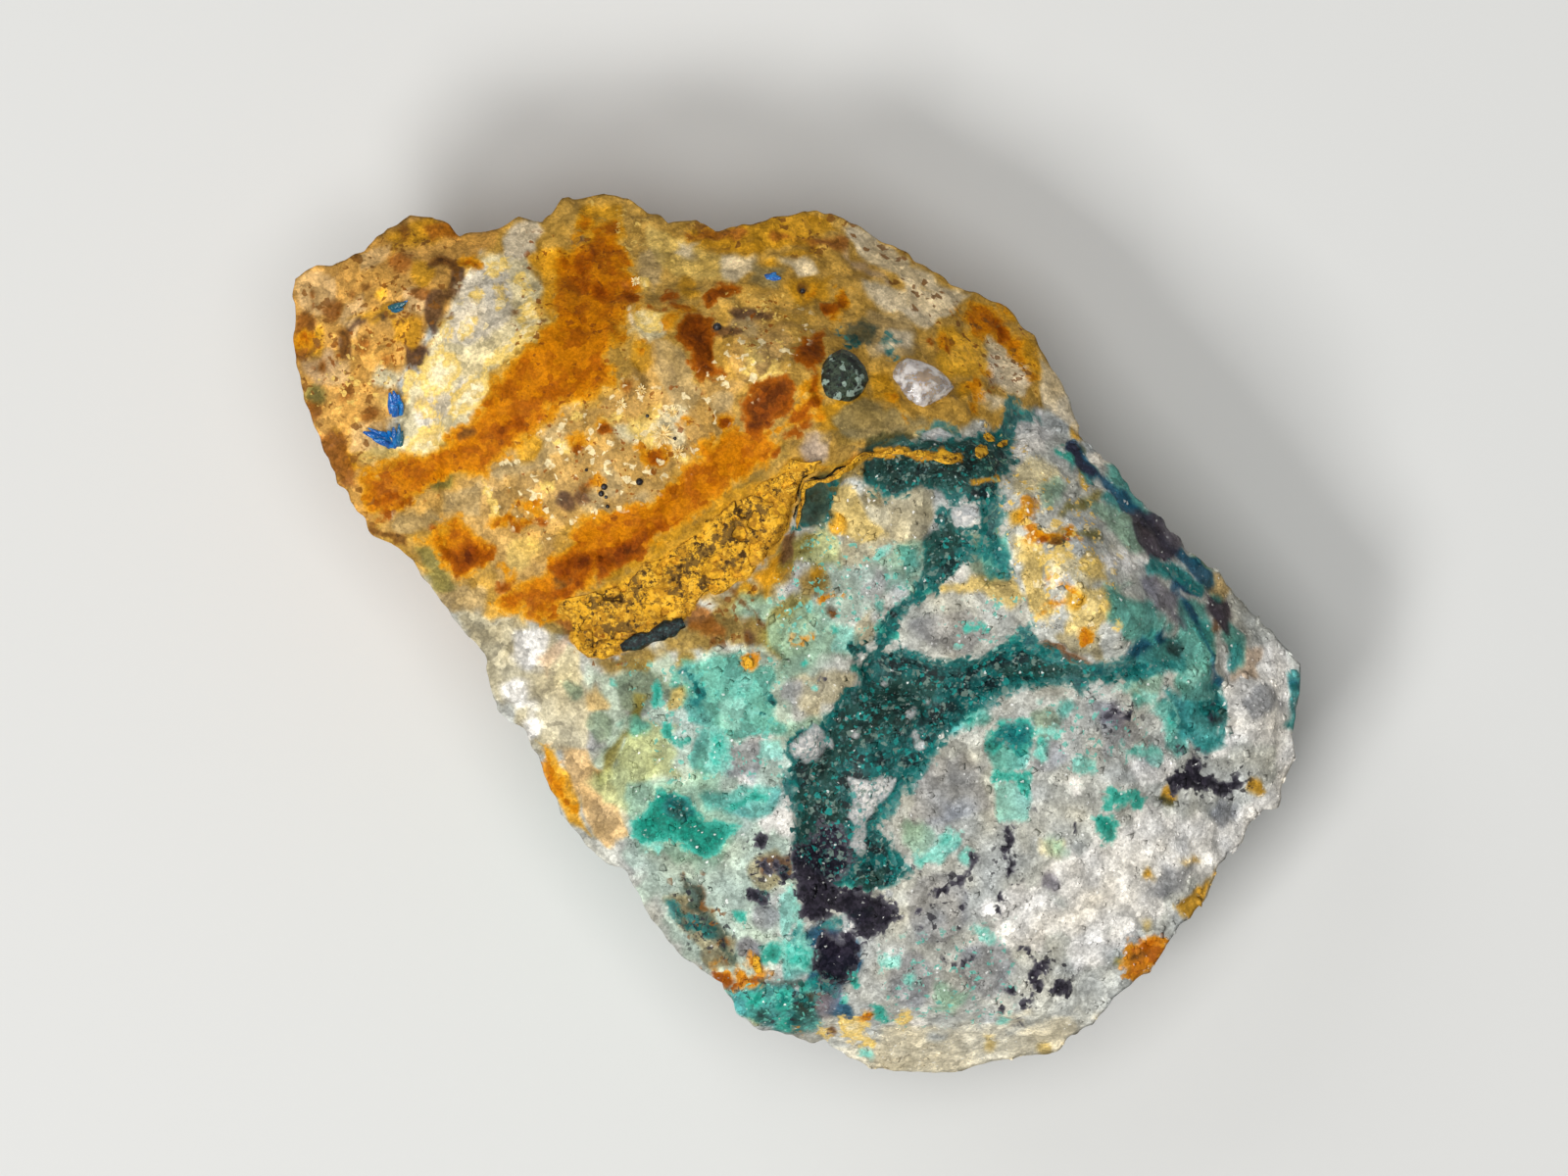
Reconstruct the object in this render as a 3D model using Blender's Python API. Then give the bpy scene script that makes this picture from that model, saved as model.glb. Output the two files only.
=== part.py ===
"""Mrazekite specimen: a broken lump of iron-stained vein quartz that carries small mineral growths.

The stone lies on a flat fracture face at z = 0, with its longest side along X. Every outline and place
is read on the specimen's plan: a sheet seen from above, x to the right, y down, in small equal steps.
plan_place() turns a plan point into metres, and stone_height() gives the height of the stone there.
"""

import itertools
import math

import bmesh
import bpy
import numpy as np

# ---- driving dimensions -------------------------------------------------------------------------
STONE_LENGTH = 0.0464  # metres along X, from the left corner to the east corner
GAP = 0.0003  # metres kept between a growth and the socket that it sits in
MM = 0.001

# ---- the stone's rim on the plan, clockwise from the upper left corner ---------------------------
RIM = (
    (301, 284), (324, 271), (347, 270), (374, 250), (398, 230), (419, 218), (441, 220), (471, 239),
    (505, 233), (529, 221), (553, 227), (570, 204), (617, 196), (641, 202), (682, 228), (711, 222),
    (729, 235), (773, 225), (833, 213), (860, 220), (899, 243), (946, 272), (994, 299), (1028, 312),
    (1056, 344), (1090, 403), (1106, 450), (1134, 471), (1156, 502), (1186, 529), (1212, 559),
    (1240, 579), (1262, 609), (1308, 653), (1329, 679), (1327, 718), (1318, 750), (1322, 775),
    (1310, 804), (1305, 825), (1284, 829), (1268, 859), (1244, 882), (1235, 916), (1209, 938),
    (1193, 962), (1175, 992), (1146, 1010), (1114, 1045), (1091, 1060), (1081, 1074), (1053, 1079),
    (1026, 1081), (983, 1095), (940, 1097), (903, 1090), (889, 1090), (864, 1080), (840, 1061),
    (831, 1066), (796, 1053), (771, 1049), (754, 1032), (734, 999), (711, 982), (691, 971),
    (675, 950), (664, 938), (653, 911), (640, 886), (611, 874), (587, 847), (572, 830), (564, 808),
    (548, 771), (535, 746), (506, 725), (500, 692), (494, 666), (469, 637), (446, 608), (431, 586),
    (422, 569), (380, 544), (352, 502), (328, 456), (312, 408), (303, 365), (298, 340),
)
PLAN_STEP = STONE_LENGTH / (1329 - 298)  # metres, from the rim's easternmost and westernmost points
PLAN_CENTRE = (813.5, 646.5)  # the middle of the rim's box

# ---- the broken faces that shape the upper side --------------------------------------------------
# x and y on the plan, the face's height there in mm, its downhill direction on the plan, its slope
FACES = (
    (790, 600, 17.2, 0.60, 0.80, 3),  # crown
    (450, 400, 16.0, -0.75, -0.66, 18),  # left shoulder
    (700, 330, 16.2, 0.00, -1.00, 42),  # top slope
    (960, 300, 11.0, 0.50, -0.87, 45),  # upper right slope
    (1180, 500, 10.5, 0.77, -0.64, 50),  # right flank
    (1320, 740, 9.5, 0.99, 0.10, 40),  # east end
    (1210, 935, 12.5, 0.76, 0.66, 25),  # lower right slope
    (950, 1090, 9.5, 0.10, 1.00, 62),  # bottom lip
    (560, 790, 15.3, -0.80, 0.60, 12),  # near edge, over the steep side
)
EDGE_SOFTNESS = 0.35  # mm, how far the edges between those faces are rounded

# x, y, half width and half height on the plan, rise in mm
MOUNDS = (
    (1115, 560, 75, 110, 1.1),  # quartz island inside the vein's loop
    (660, 480, 90, 60, 0.6),  # pale speckled quartz
    (620, 735, 45, 60, 0.6),  # greenish quartz above the near edge
    (1000, 900, 110, 70, 0.5),  # lower right quartz
    (1285, 740, 35, 60, 0.7),  # east end block
    (885, 835, 28, 40, -0.4),  # white window in the vein
    (822, 762, 20, 18, 0.5),  # pink block beside the vein
    (470, 350, 50, 70, 0.5),  # cream shoulder
    (1015, 350, 30, 45, -0.7),  # hollow at the upper right
    (870, 1062, 45, 18, -0.9),  # hollow with crystals at the bottom
    (690, 830, 30, 22, 0.3),  # malachite patch
)

# points on the plan, half width on the plan, depth in mm
GROOVES = (
    (((884, 477), (940, 447), (1010, 444), (1058, 426)), 20, 0.8),  # vein, upper edge of its loop
    (((1030, 450), (1024, 520), (1018, 578)), 18, 0.7),  # vein, right side of the loop
    (((953, 500), (962, 555), (928, 620), (895, 668)), 18, 0.7),  # vein, left side of the loop
    (((890, 690), (950, 705), (1040, 672), (1120, 688), (1195, 662)), 22, 0.9),  # vein, eastern arm
    (((905, 690), (850, 760), (830, 830), (855, 900), (845, 990)), 24, 0.9),  # vein, trunk
    (((950, 730), (915, 790), (892, 870), (905, 930), (860, 985)), 18, 0.8),  # vein, trunk's far side
    (((648, 735), (632, 762), (615, 789)), 9, 0.7),  # ledge above the near edge
    (((842, 483), (815, 510), (806, 540), (770, 600)), 7, 0.6),  # seam along the ochre crust
)

# size of the broken grains on the plan, their relief in mm, seed
GRAINS = (
    (150, 1.5, 3),
    (62, 0.8, 11),
)

# ---- the stone's mesh ----------------------------------------------------------------------------
# The rim's four corners split it into the sides of a grid: places in RIM, clockwise from upper left.
CORNER_UPPER_LEFT, CORNER_UPPER_RIGHT, CORNER_EAST, CORNER_BOTTOM = 0, 19, 34, 62
TOP_CELLS = 40  # along each side of the grid over the upper side
WALL_CELLS = 9  # down the wall
BASE_SHARE = 0.80  # the resting face is this share of the rim's size
BASE_SHIFT = (-14, 12)  # on the plan, the resting face stands nearer to the steep side
BASE_ROUNDING = 0.05  # how far the wall's foot is drawn in, as a share
WALL_GRAINS = ((170, 0.5, 41), (84, 0.3, 43), (44, 0.2, 47))  # size on the plan, share of relief, seed
WALL_RELIEF = 4.4  # mm, between the wall's ledges and its hollows
WALL_BITE = 0.30  # the relief above which the wall isn't bitten into
WALL_TILT = 1.5  # ledges are this many times wider than they are tall

# ---- the growths ---------------------------------------------------------------------------------
CUTTER_REACH = (5, 25)  # mm, the heights between which an upright cut runs
CRUST_OUTLINE = (
    (567, 627), (583, 635), (583, 654), (602, 672), (636, 664), (699, 634), (715, 608), (755, 595),
    (791, 561), (806, 537), (816, 502), (824, 484), (851, 475), (806, 467), (772, 500), (730, 526),
    (680, 562), (656, 570), (646, 584), (607, 600),
)
CRUST_FLOOR = -0.9  # mm, the floor of the hollow that the crust fills, from the stone's surface
CRUST_BOTTOM = -0.6
CRUST_TOP = 0.4
LAYER_CELL = 12  # the crust's grid on the plan

# name, plan place of the root, root's half sizes on the plan, and each blade's
# place from the root on the plan, length, width and thickness in mm, bearing and lean in degrees
BLADE_CLUSTERS = (
    ("mrazekite_blades_upper", (403, 414), (7, 12), (
        (-1, -5, 1.00, 0.46, 0.20, 80, 48), (2, 3, 0.95, 0.42, 0.18, 290, 40),
        (0, 8, 0.80, 0.36, 0.18, 200, 52), (-2, 0, 0.85, 0.40, 0.16, 20, 60),
    )),
    ("mrazekite_blades_lower", (391, 447), (17, 10), (
        (-11, -1, 1.00, 0.46, 0.20, 170, 45), (-2, -5, 1.05, 0.50, 0.20, 110, 50),
        (4, 4, 0.95, 0.44, 0.20, 290, 42), (12, -2, 1.00, 0.46, 0.22, 30, 48),
        (0, 0, 1.00, 0.40, 0.18, 240, 66),
    )),
    ("mrazekite_teal_blade", (402, 313), (11, 6), (
        (-3, 1, 1.15, 0.42, 0.20, 205, 32), (4, -1, 1.00, 0.38, 0.18, 20, 38),
    )),
    ("mrazekite_flake", (788, 283), (7, 4), (
        (-1, 0, 0.80, 0.34, 0.16, 190, 35), (2, 0, 0.70, 0.30, 0.16, 25, 45),
    )),
)
SPRAY_PLACE = (677, 444)
SPRAY_NEEDLES = 9
SPRAY_LENGTH = 0.85  # mm
ROOT_DEPTH = 0.35  # mm, how deep a cluster's root stands in its socket
GRAIN_PLACE = (941, 394)
GRAIN_HALF = (1.50, 1.18, 1.10)  # mm, the clear quartz grain
GRAIN_SOCKET = 1.16  # how much larger its socket is
NODULE_PLACE = (860, 389)
NODULE_HALF = (1.10, 1.22, 0.95)  # mm, the dark green nodule
NODULE_SOCKET = 1.14
LATH_ENDS = ((636, 664), (697, 636))
LATH_WIDTH = 0.80  # mm
LATH_HEIGHT = 0.90  # mm
LATH_TAPER = 0.7


# ---- formulas ------------------------------------------------------------------------------------
def plan_place(x, y):
    """Metres along X and Y of a place on the plan."""
    return (x - PLAN_CENTRE[0]) * PLAN_STEP, (PLAN_CENTRE[1] - y) * PLAN_STEP


def chance(ix, iy, iz, seed):
    """A number from 0 to 1 for each whole-number place; the same place always gives the same one."""
    h = (ix * 374761393 + iy * 668265263 + iz * 974634777 + seed * 362437) & 0xFFFFFFFF
    h = ((h ^ (h >> 13)) * 1274126177) & 0xFFFFFFFF
    return ((h ^ (h >> 16)) & 0xFFFFFF) / 0xFFFFFF


def broken_grains(x, y, z, cell, seed):
    """Relief of broken grains, about -0.5 to 0.5: each jittered cell of space holds a tilted block with
    steep sides turned its own way, and at each place the highest block wins. All in plan steps."""
    home = [np.floor(value / cell).astype(np.int64) for value in (x, y, z)]
    highest = np.full(np.shape(x), -9.0)
    for step in itertools.product((-1, 0, 1), repeat=3):
        ix, iy, iz = (corner + move for corner, move in zip(home, step))
        dx = x / cell - ix - chance(ix, iy, iz, seed)
        dy = y / cell - iy - chance(ix, iy, iz, seed + 1)
        dz = z / cell - iz - chance(ix, iy, iz, seed + 2)
        turn = 2 * np.pi * chance(ix, iy, iz, seed + 3)
        along, across = dx * np.cos(turn) + dy * np.sin(turn), dy * np.cos(turn) - dx * np.sin(turn)
        flank = np.maximum(np.maximum(np.abs(along), np.abs(across)), np.abs(dz)) - 0.3
        block = 0.5 * chance(ix, iy, iz, seed + 4) + 0.45 * along - 1.1 * np.maximum(flank, 0)
        highest = np.maximum(highest, block)
    return highest - 0.3


def distance_to_path(x, y, path):
    """How far each place is from a line through the path's points, on the plan."""
    nearest = np.full(np.shape(x), 1e9)
    for (ax, ay), (bx, by) in zip(path[:-1], path[1:]):
        run = (bx - ax) ** 2 + (by - ay) ** 2
        share = np.clip(((x - ax) * (bx - ax) + (y - ay) * (by - ay)) / run, 0, 1)
        nearest = np.minimum(nearest, np.hypot(x - ax - share * (bx - ax), y - ay - share * (by - ay)))
    return nearest


def stone_height(x, y):
    """Height in mm of the stone over places on the plan: the lowest of its broken faces, with the edges
    between them eased, then mounds, grooves and the relief of the grains."""
    low = 0
    for face_x, face_y, height, down_x, down_y, slope in FACES:
        run = ((x - face_x) * down_x + (y - face_y) * down_y) * PLAN_STEP / MM
        low = low + np.exp(-(height - math.tan(math.radians(slope)) * run) / EDGE_SOFTNESS)
    height = -EDGE_SOFTNESS * np.log(low)
    for mound_x, mound_y, half_x, half_y, rise in MOUNDS:
        height = height + rise * np.exp(-(((x - mound_x) / half_x) ** 2) - ((y - mound_y) / half_y) ** 2)
    for path, half_width, depth in GROOVES:
        height = height - depth * np.exp(-((distance_to_path(x, y, path) / half_width) ** 2))
    for cell, relief, seed in GRAINS:
        height = height + relief * broken_grains(x, y, 0 * x, cell, seed)
    return height


def rim_side(first, last, at, every=1):
    """Points at shares of the way along one side of the rim, from one corner to the next, by its
    length; every says how many of the rim's corners are passed over, for a smoother line."""
    corners = np.array(RIM + RIM[:1], float)[first : last + 1]
    corners = np.concatenate([corners[:-1:every], corners[-1:]])
    along = np.concatenate([[0], np.cumsum(np.hypot(*np.diff(corners, axis=0).T))])
    return np.stack([np.interp(at * along[-1], along, corners[:, k]) for k in (0, 1)], axis=1)


def spread(u, v, every=1):
    """Plan places for u and v from 0 to 1 across the stone: a sheet stretched between the rim's four
    sides, u from the left side to the right one and v from the bottom side to the top one."""
    top = rim_side(CORNER_UPPER_LEFT, CORNER_UPPER_RIGHT, u, every)
    right = rim_side(CORNER_UPPER_RIGHT, CORNER_EAST, 1 - v, every)
    bottom = rim_side(CORNER_EAST, CORNER_BOTTOM, 1 - u, every)
    left = rim_side(CORNER_BOTTOM, len(RIM), v, every)
    upper_left, upper_right, east, low = (
        np.array(RIM[corner], float)
        for corner in (CORNER_UPPER_LEFT, CORNER_UPPER_RIGHT, CORNER_EAST, CORNER_BOTTOM)
    )
    u, v = u[:, None], v[:, None]
    between_corners = v * ((1 - u) * upper_left + u * upper_right) + (1 - v) * ((1 - u) * low + u * east)
    return v * top + (1 - v) * bottom + u * right + (1 - u) * left - between_corners


def stone_place(u, v, down):
    """Metres of the stone's outside for u and v across it, and down from 0 at the rim to 1 at the
    resting face. The wall passes from the rim to a smoother, smaller outline, with ledges and hollows."""
    upper, lower = spread(u, v), spread(u, v, every=5)
    lower = np.add(PLAN_CENTRE, BASE_SHIFT) + (lower - PLAN_CENTRE) * BASE_SHARE
    rim_height = stone_height(upper[:, 0], upper[:, 1])
    height = rim_height * (1 - down)
    plan = upper + (lower - upper) * (down**1.2)[:, None]
    plan = plan + (PLAN_CENTRE - plan) * (BASE_ROUNDING * down**7)[:, None]
    depth = height * MM / PLAN_STEP * WALL_TILT
    relief = sum(share * broken_grains(*plan.T, depth, cell, seed) for cell, share, seed in WALL_GRAINS)
    inward = (PLAN_CENTRE - plan) / np.hypot(*(PLAN_CENTRE - plan).T)[:, None]
    bite = (WALL_BITE - relief) * WALL_RELIEF * MM / PLAN_STEP * np.sin(np.pi * down) ** 0.7
    on_wall = (down > 0) & (down < 1)
    plan = plan + np.where(on_wall, np.maximum(bite, 0), 0)[:, None] * inward
    return np.stack([*plan_place(*plan.T), height * MM], axis=1)


# ---- building ------------------------------------------------------------------------------------
def clear_scene():
    for obj in list(bpy.data.objects):
        bpy.data.objects.remove(obj, do_unlink=True)


def new_collection(name):
    collection = bpy.data.collections.new(name)
    bpy.context.scene.collection.children.link(collection)
    return collection


def add_object(name, bm, collection, material=None, smooth=False):
    """A named object from a bmesh, with its faces pointing out."""
    bmesh.ops.recalc_face_normals(bm, faces=bm.faces)
    mesh = bpy.data.meshes.new(name)
    bm.to_mesh(mesh)
    bm.free()
    if smooth:
        mesh.shade_smooth()
    if material:
        mesh.materials.append(material)
    obj = bpy.data.objects.new(name, mesh)
    collection.objects.link(obj)
    if collection == cutters:
        obj.hide_render = True
        obj.display_type = "WIRE"
    return obj


def boolean(obj, operation, other):
    modifier = obj.modifiers.new(operation.lower() + "_" + other.name, "BOOLEAN")
    modifier.operation = operation
    modifier.solver = "EXACT"
    modifier.object = other


def finish(name, colour, roughness, metallic=0.0, clear=0.0):
    material = bpy.data.materials.new(name)
    material.use_nodes = True
    shader = material.node_tree.nodes["Principled BSDF"]
    shader.inputs["Base Color"].default_value = (*colour, 1.0)
    shader.inputs["Roughness"].default_value = roughness
    shader.inputs["Metallic"].default_value = metallic
    shader.inputs["Transmission Weight"].default_value = clear
    material.diffuse_color = (*colour, 1.0)
    return material


def place_vertices(bm, places):
    for vertex, place in zip(bm.verts, places):
        vertex.co = place


def subdivided_block(cells_across, cells_down):
    """A block from -1 to 1 whose upper face and sides are cut into cells; its lower face stays whole."""
    bm = bmesh.new()
    bmesh.ops.create_cube(bm, size=2)
    for axis, cells in enumerate((cells_across, cells_across, cells_down)):
        run = [edge for edge in bm.edges if abs(edge.verts[0].co[axis] - edge.verts[1].co[axis]) > 1]
        bmesh.ops.subdivide_edges(bm, edges=run, cuts=cells - 1, use_grid_fill=True)
    lower = [face for face in bm.faces if all(vertex.co.z < -0.999 for vertex in face.verts)]
    bmesh.ops.dissolve_faces(bm, faces=lower)
    return bm


def make_stone():
    """The stone from a subdivided block: its upper face is laid over the plan, its sides are the wall,
    and its lower face is the flat resting face."""
    bm = subdivided_block(TOP_CELLS, WALL_CELLS)
    block = np.array([vertex.co for vertex in bm.verts], float)
    u, v, down = (block[:, 0] + 1) / 2, (block[:, 1] + 1) / 2, (1 - block[:, 2]) / 2
    place_vertices(bm, stone_place(u, v, down))
    return add_object("quartz_matrix", bm, part, finish("vein_quartz", (0.62, 0.50, 0.30), 0.55))


def outline_prism(name, outline, low, high):
    """An upright prism of a plan outline, from low to high in mm."""
    bm = bmesh.new()
    corners = [bm.verts.new((*plan_place(x, y), low * MM)) for x, y in outline]
    face = bm.faces.new(corners)
    bm.normal_update()
    if face.normal.z > 0:
        face.normal_flip()
    lifted = bmesh.ops.extrude_face_region(bm, geom=[face])["geom"]
    for vertex in [item for item in lifted if isinstance(item, bmesh.types.BMVert)]:
        vertex.co.z = high * MM
    return bm


def surface_layer(outline, low, high):
    """A slab that follows the stone's surface under a plan outline's box, from low to high in mm above
    the surface: a subdivided cube whose vertices are laid over a grid on the plan."""
    xs, ys = [p[0] for p in outline], [p[1] for p in outline]
    left, top = min(xs) - 2 * LAYER_CELL, min(ys) - 2 * LAYER_CELL
    columns = math.ceil((max(xs) - left) / LAYER_CELL) + 2
    rows = math.ceil((max(ys) - top) / LAYER_CELL) + 2
    bm = bmesh.new()
    bmesh.ops.create_grid(bm, x_segments=columns, y_segments=rows, size=1)
    bmesh.ops.extrude_face_region(bm, geom=list(bm.faces))
    bm.verts.ensure_lookup_table()
    flat = np.array([vertex.co for vertex in bm.verts])
    x = left + (flat[:, 0] + 1) / 2 * columns * LAYER_CELL
    y = top + (flat[:, 1] + 1) / 2 * rows * LAYER_CELL
    lifted = np.arange(len(flat)) >= len(flat) // 2
    height = stone_height(x, y) + np.where(lifted, high, low)
    metres_x, metres_y = plan_place(x, y)
    place_vertices(bm, np.stack([metres_x, metres_y, height * MM], axis=1))
    return bm


def grown(outline, by):
    """A plan outline moved outwards by a distance in mm, corner by corner along its mean normal."""
    points = np.array(outline, float)
    run = np.roll(points, -1, axis=0) - np.roll(points, 1, axis=0)
    normal = np.stack([run[:, 1], -run[:, 0]], axis=1) / np.hypot(*run.T)[:, None]
    area = np.sum(points[:, 0] * np.roll(points[:, 1], -1) - np.roll(points[:, 0], -1) * points[:, 1])
    return points + np.sign(area) * normal * by * MM / PLAN_STEP


def make_ochre_crust(stone):
    """The yellow crust: a layer over the stone inside its outline, let into a hollow."""
    layer = surface_layer(CRUST_OUTLINE, CRUST_BOTTOM, CRUST_TOP)
    crust = add_object("ochre_crust", layer, part, finish("ochre", (0.62, 0.36, 0.05), 0.85))
    edge = add_object("crust_edge", outline_prism("crust_edge", CRUST_OUTLINE, *CUTTER_REACH), cutters)
    boolean(crust, "INTERSECT", edge)
    hollow_outline = grown(CRUST_OUTLINE, 1000 * GAP * 1.15)
    hollow = add_object("crust_hollow", surface_layer(hollow_outline, CRUST_FLOOR, 3), cutters)
    hollow_edge = outline_prism("crust_hollow_edge", hollow_outline, *CUTTER_REACH)
    boolean(hollow, "INTERSECT", add_object("crust_hollow_edge", hollow_edge, cutters))
    boolean(stone, "DIFFERENCE", hollow)
    return crust


def oval(bm, place, half_sizes, low, high, sides=14):
    """An upright oval column at a plan place: half sizes on the plan, low and high in mm."""
    made = bmesh.ops.create_cone(bm, cap_ends=True, segments=sides, radius1=1, radius2=1, depth=1)
    x, y = plan_place(*place)
    for vertex in made["verts"]:
        vertex.co.x = x + vertex.co.x * half_sizes[0] * PLAN_STEP
        vertex.co.y = y + vertex.co.y * half_sizes[1] * PLAN_STEP
        vertex.co.z = (low + (vertex.co.z + 0.5) * (high - low)) * MM
    return made


def cut_socket(stone, name, place, half_sizes, floor):
    """An oval socket in the stone, wider than what stands in it by the gap; floor is a height in mm."""
    gap = GAP / PLAN_STEP
    bm = bmesh.new()
    oval(bm, place, (half_sizes[0] + gap, half_sizes[1] + gap), floor - 1000 * GAP, floor + 6)
    boolean(stone, "DIFFERENCE", add_object("socket_" + name, bm, cutters))


def blade(place, length, width, thickness, bearing, lean, base_height):
    """One blade: a six-sided bar flattened to its thickness, narrowing to a chisel tip. It leans out
    along its bearing, lean degrees above level, from its place at base_height in mm."""
    bm = bmesh.new()
    made = bmesh.ops.create_cone(bm, cap_ends=True, segments=6, radius1=0.5, radius2=0.22, depth=1)
    up, level = math.radians(lean), math.radians(bearing)
    reach = np.array([math.cos(up) * math.cos(level), math.cos(up) * math.sin(level), math.sin(up)])
    across = np.array([-math.sin(level), math.cos(level), 0.0])
    flat = np.cross(reach, across)
    root = np.array([*plan_place(*place), base_height * MM])
    for vertex in made["verts"]:
        x, y, z = vertex.co
        local = (z + 0.5) * length * reach + x * width * across + y * thickness * flat
        vertex.co = root + local * MM
    return bm


def make_blade_cluster(stone, name, root, root_half, blades, colour):
    """Blades grown together from one root, in a socket of the stone."""
    ground = float(stone_height(*np.array(root, float)))
    bm = bmesh.new()
    oval(bm, root, root_half, ground - ROOT_DEPTH, ground + 0.28)
    cluster = add_object(name, bm, part, finish(name, colour, 0.25))
    for number, (dx, dy, length, width, thickness, bearing, lean) in enumerate(blades):
        place = (root[0] + dx, root[1] + dy)
        bar = blade(place, length, width, thickness, bearing, lean, ground + 0.05)
        boolean(cluster, "UNION", add_object(f"{name}_bar_{number}", bar, cutters))
    cut_socket(stone, name, root, (root_half[0] + 3, root_half[1] + 3), ground - ROOT_DEPTH)


def make_cream_spray(stone):
    """A small fan of needles from one root."""
    ground = float(stone_height(*np.array(SPRAY_PLACE, float)))
    bm = bmesh.new()
    oval(bm, SPRAY_PLACE, (6, 6), ground - ROOT_DEPTH, ground + 0.25, sides=10)
    spray = add_object("cream_crystal_spray", bm, part, finish("cream_crystal", (0.85, 0.75, 0.5), 0.5))
    for number in range(SPRAY_NEEDLES):
        bearing = 360 * number / SPRAY_NEEDLES
        lean = 38 + 22 * (number % 3)
        needle = blade(SPRAY_PLACE, SPRAY_LENGTH, 0.17, 0.15, bearing, lean, ground)
        boolean(spray, "UNION", add_object(f"spray_needle_{number}", needle, cutters))
    cut_socket(stone, "cream_crystal_spray", SPRAY_PLACE, (10, 10), ground - ROOT_DEPTH)


def lump(place, half_sizes, columns, rings, centre_height, shape):
    """A closed lump from a sphere: half sizes in mm, and shape(turn, rise) as its radius's share."""
    bm = bmesh.new()
    bmesh.ops.create_uvsphere(bm, u_segments=columns, v_segments=rings, radius=1.0)
    x, y = plan_place(*place)
    ball = np.array([vertex.co for vertex in bm.verts])
    share = shape(np.arctan2(ball[:, 1], ball[:, 0]), ball[:, 2])
    places = ball * np.array(half_sizes) * MM * share[:, None] + (x, y, centre_height * MM)
    place_vertices(bm, places)
    return bm


def make_clear_grain(stone):
    """The clear quartz grain: a blunt lump with flat faces."""
    ground = float(stone_height(*np.array(GRAIN_PLACE, float)))

    def faceted(turn, rise):
        return 1 - 0.10 * np.cos(3 * turn + 0.6) + 0.05 * np.sin(5 * turn + 4 * rise)

    centre = ground - 0.15
    bm = lump(GRAIN_PLACE, GRAIN_HALF, 9, 7, centre, faceted)
    add_object("clear_quartz_grain", bm, part, finish("clear_quartz", (0.85, 0.84, 0.78), 0.08, clear=0.8))
    half = tuple(GRAIN_SOCKET * size * MM / PLAN_STEP for size in GRAIN_HALF[:2])
    cut_socket(stone, "clear_quartz_grain", GRAIN_PLACE, half, centre - GRAIN_SOCKET * GRAIN_HALF[2])


def make_green_nodule(stone):
    """The dark green nodule: a pear-shaped grain, wider towards its upper right."""
    ground = float(stone_height(*np.array(NODULE_PLACE, float)))

    def pear(turn, rise):
        wider = 0.12 * np.ones_like(rise)
        return 1 + wider * np.cos(turn - 0.9) - 0.04 * np.cos(3 * turn)

    centre = ground - 0.15
    bm = lump(NODULE_PLACE, NODULE_HALF, 16, 10, centre, pear)
    material = finish("green_nodule", (0.05, 0.07, 0.05), 0.45)
    add_object("green_nodule", bm, part, material, smooth=True)
    half = tuple(NODULE_SOCKET * size * MM / PLAN_STEP for size in NODULE_HALF[:2])
    cut_socket(stone, "green_nodule", NODULE_PLACE, half, centre - NODULE_SOCKET * NODULE_HALF[2])


def bar(ends, width, height, centre_height, taper=1.0):
    """A six-sided bar that lies along the plan between two ends; width and height in mm."""
    (ax, ay), (bx, by) = plan_place(*ends[0]), plan_place(*ends[1])
    bearing = math.atan2(by - ay, bx - ax)
    length = math.hypot(bx - ax, by - ay)
    bm = bmesh.new()
    made = bmesh.ops.create_cone(bm, cap_ends=True, segments=6, radius1=0.5, radius2=0.5 * taper, depth=1)
    for vertex in made["verts"]:
        x, y, z = vertex.co
        along, across = z * length, x * width * MM
        vertex.co.x = (ax + bx) / 2 + along * math.cos(bearing) - across * math.sin(bearing)
        vertex.co.y = (ay + by) / 2 + along * math.sin(bearing) + across * math.cos(bearing)
        vertex.co.z = centre_height * MM + y * height * MM
    return bm


def make_black_green_lath(stone, crust):
    """The black-green lath: a flattened six-sided crystal lying in a trough along the crust's edge."""
    middle = np.mean(LATH_ENDS, axis=0)
    centre = float(stone_height(*middle)) + 0.1
    bm = bar(LATH_ENDS, LATH_WIDTH, LATH_HEIGHT, centre, LATH_TAPER)
    add_object("black_green_lath", bm, part, finish("black_green", (0.03, 0.035, 0.025), 0.3))
    (ax, ay), (bx, by) = LATH_ENDS
    spare = 1.3 * GAP / PLAN_STEP / math.hypot(bx - ax, by - ay)
    cx, cy = plan_place(ax - spare * (bx - ax), ay - spare * (by - ay))
    dx, dy = plan_place(bx + spare * (bx - ax), by + spare * (by - ay))
    bm = bmesh.new()
    made = bmesh.ops.create_cube(bm, size=1)
    bearing = math.atan2(dy - cy, dx - cx)
    floor = centre - LATH_HEIGHT / 2 - 1000 * GAP
    for vertex in made["verts"]:
        along = vertex.co.x * math.hypot(dx - cx, dy - cy)
        across = vertex.co.y * (LATH_WIDTH * MM + 2.2 * GAP)
        vertex.co.z = (floor + (vertex.co.z + 0.5) * 6) * MM
        vertex.co.x = (cx + dx) / 2 + along * math.cos(bearing) - across * math.sin(bearing)
        vertex.co.y = (cy + dy) / 2 + along * math.sin(bearing) + across * math.cos(bearing)
    trough = add_object("trough_black_green_lath", bm, cutters)
    boolean(stone, "DIFFERENCE", trough)
    boolean(crust, "DIFFERENCE", trough)


clear_scene()
part = new_collection("mrazekite_specimen")
cutters = new_collection("cutters")

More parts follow.
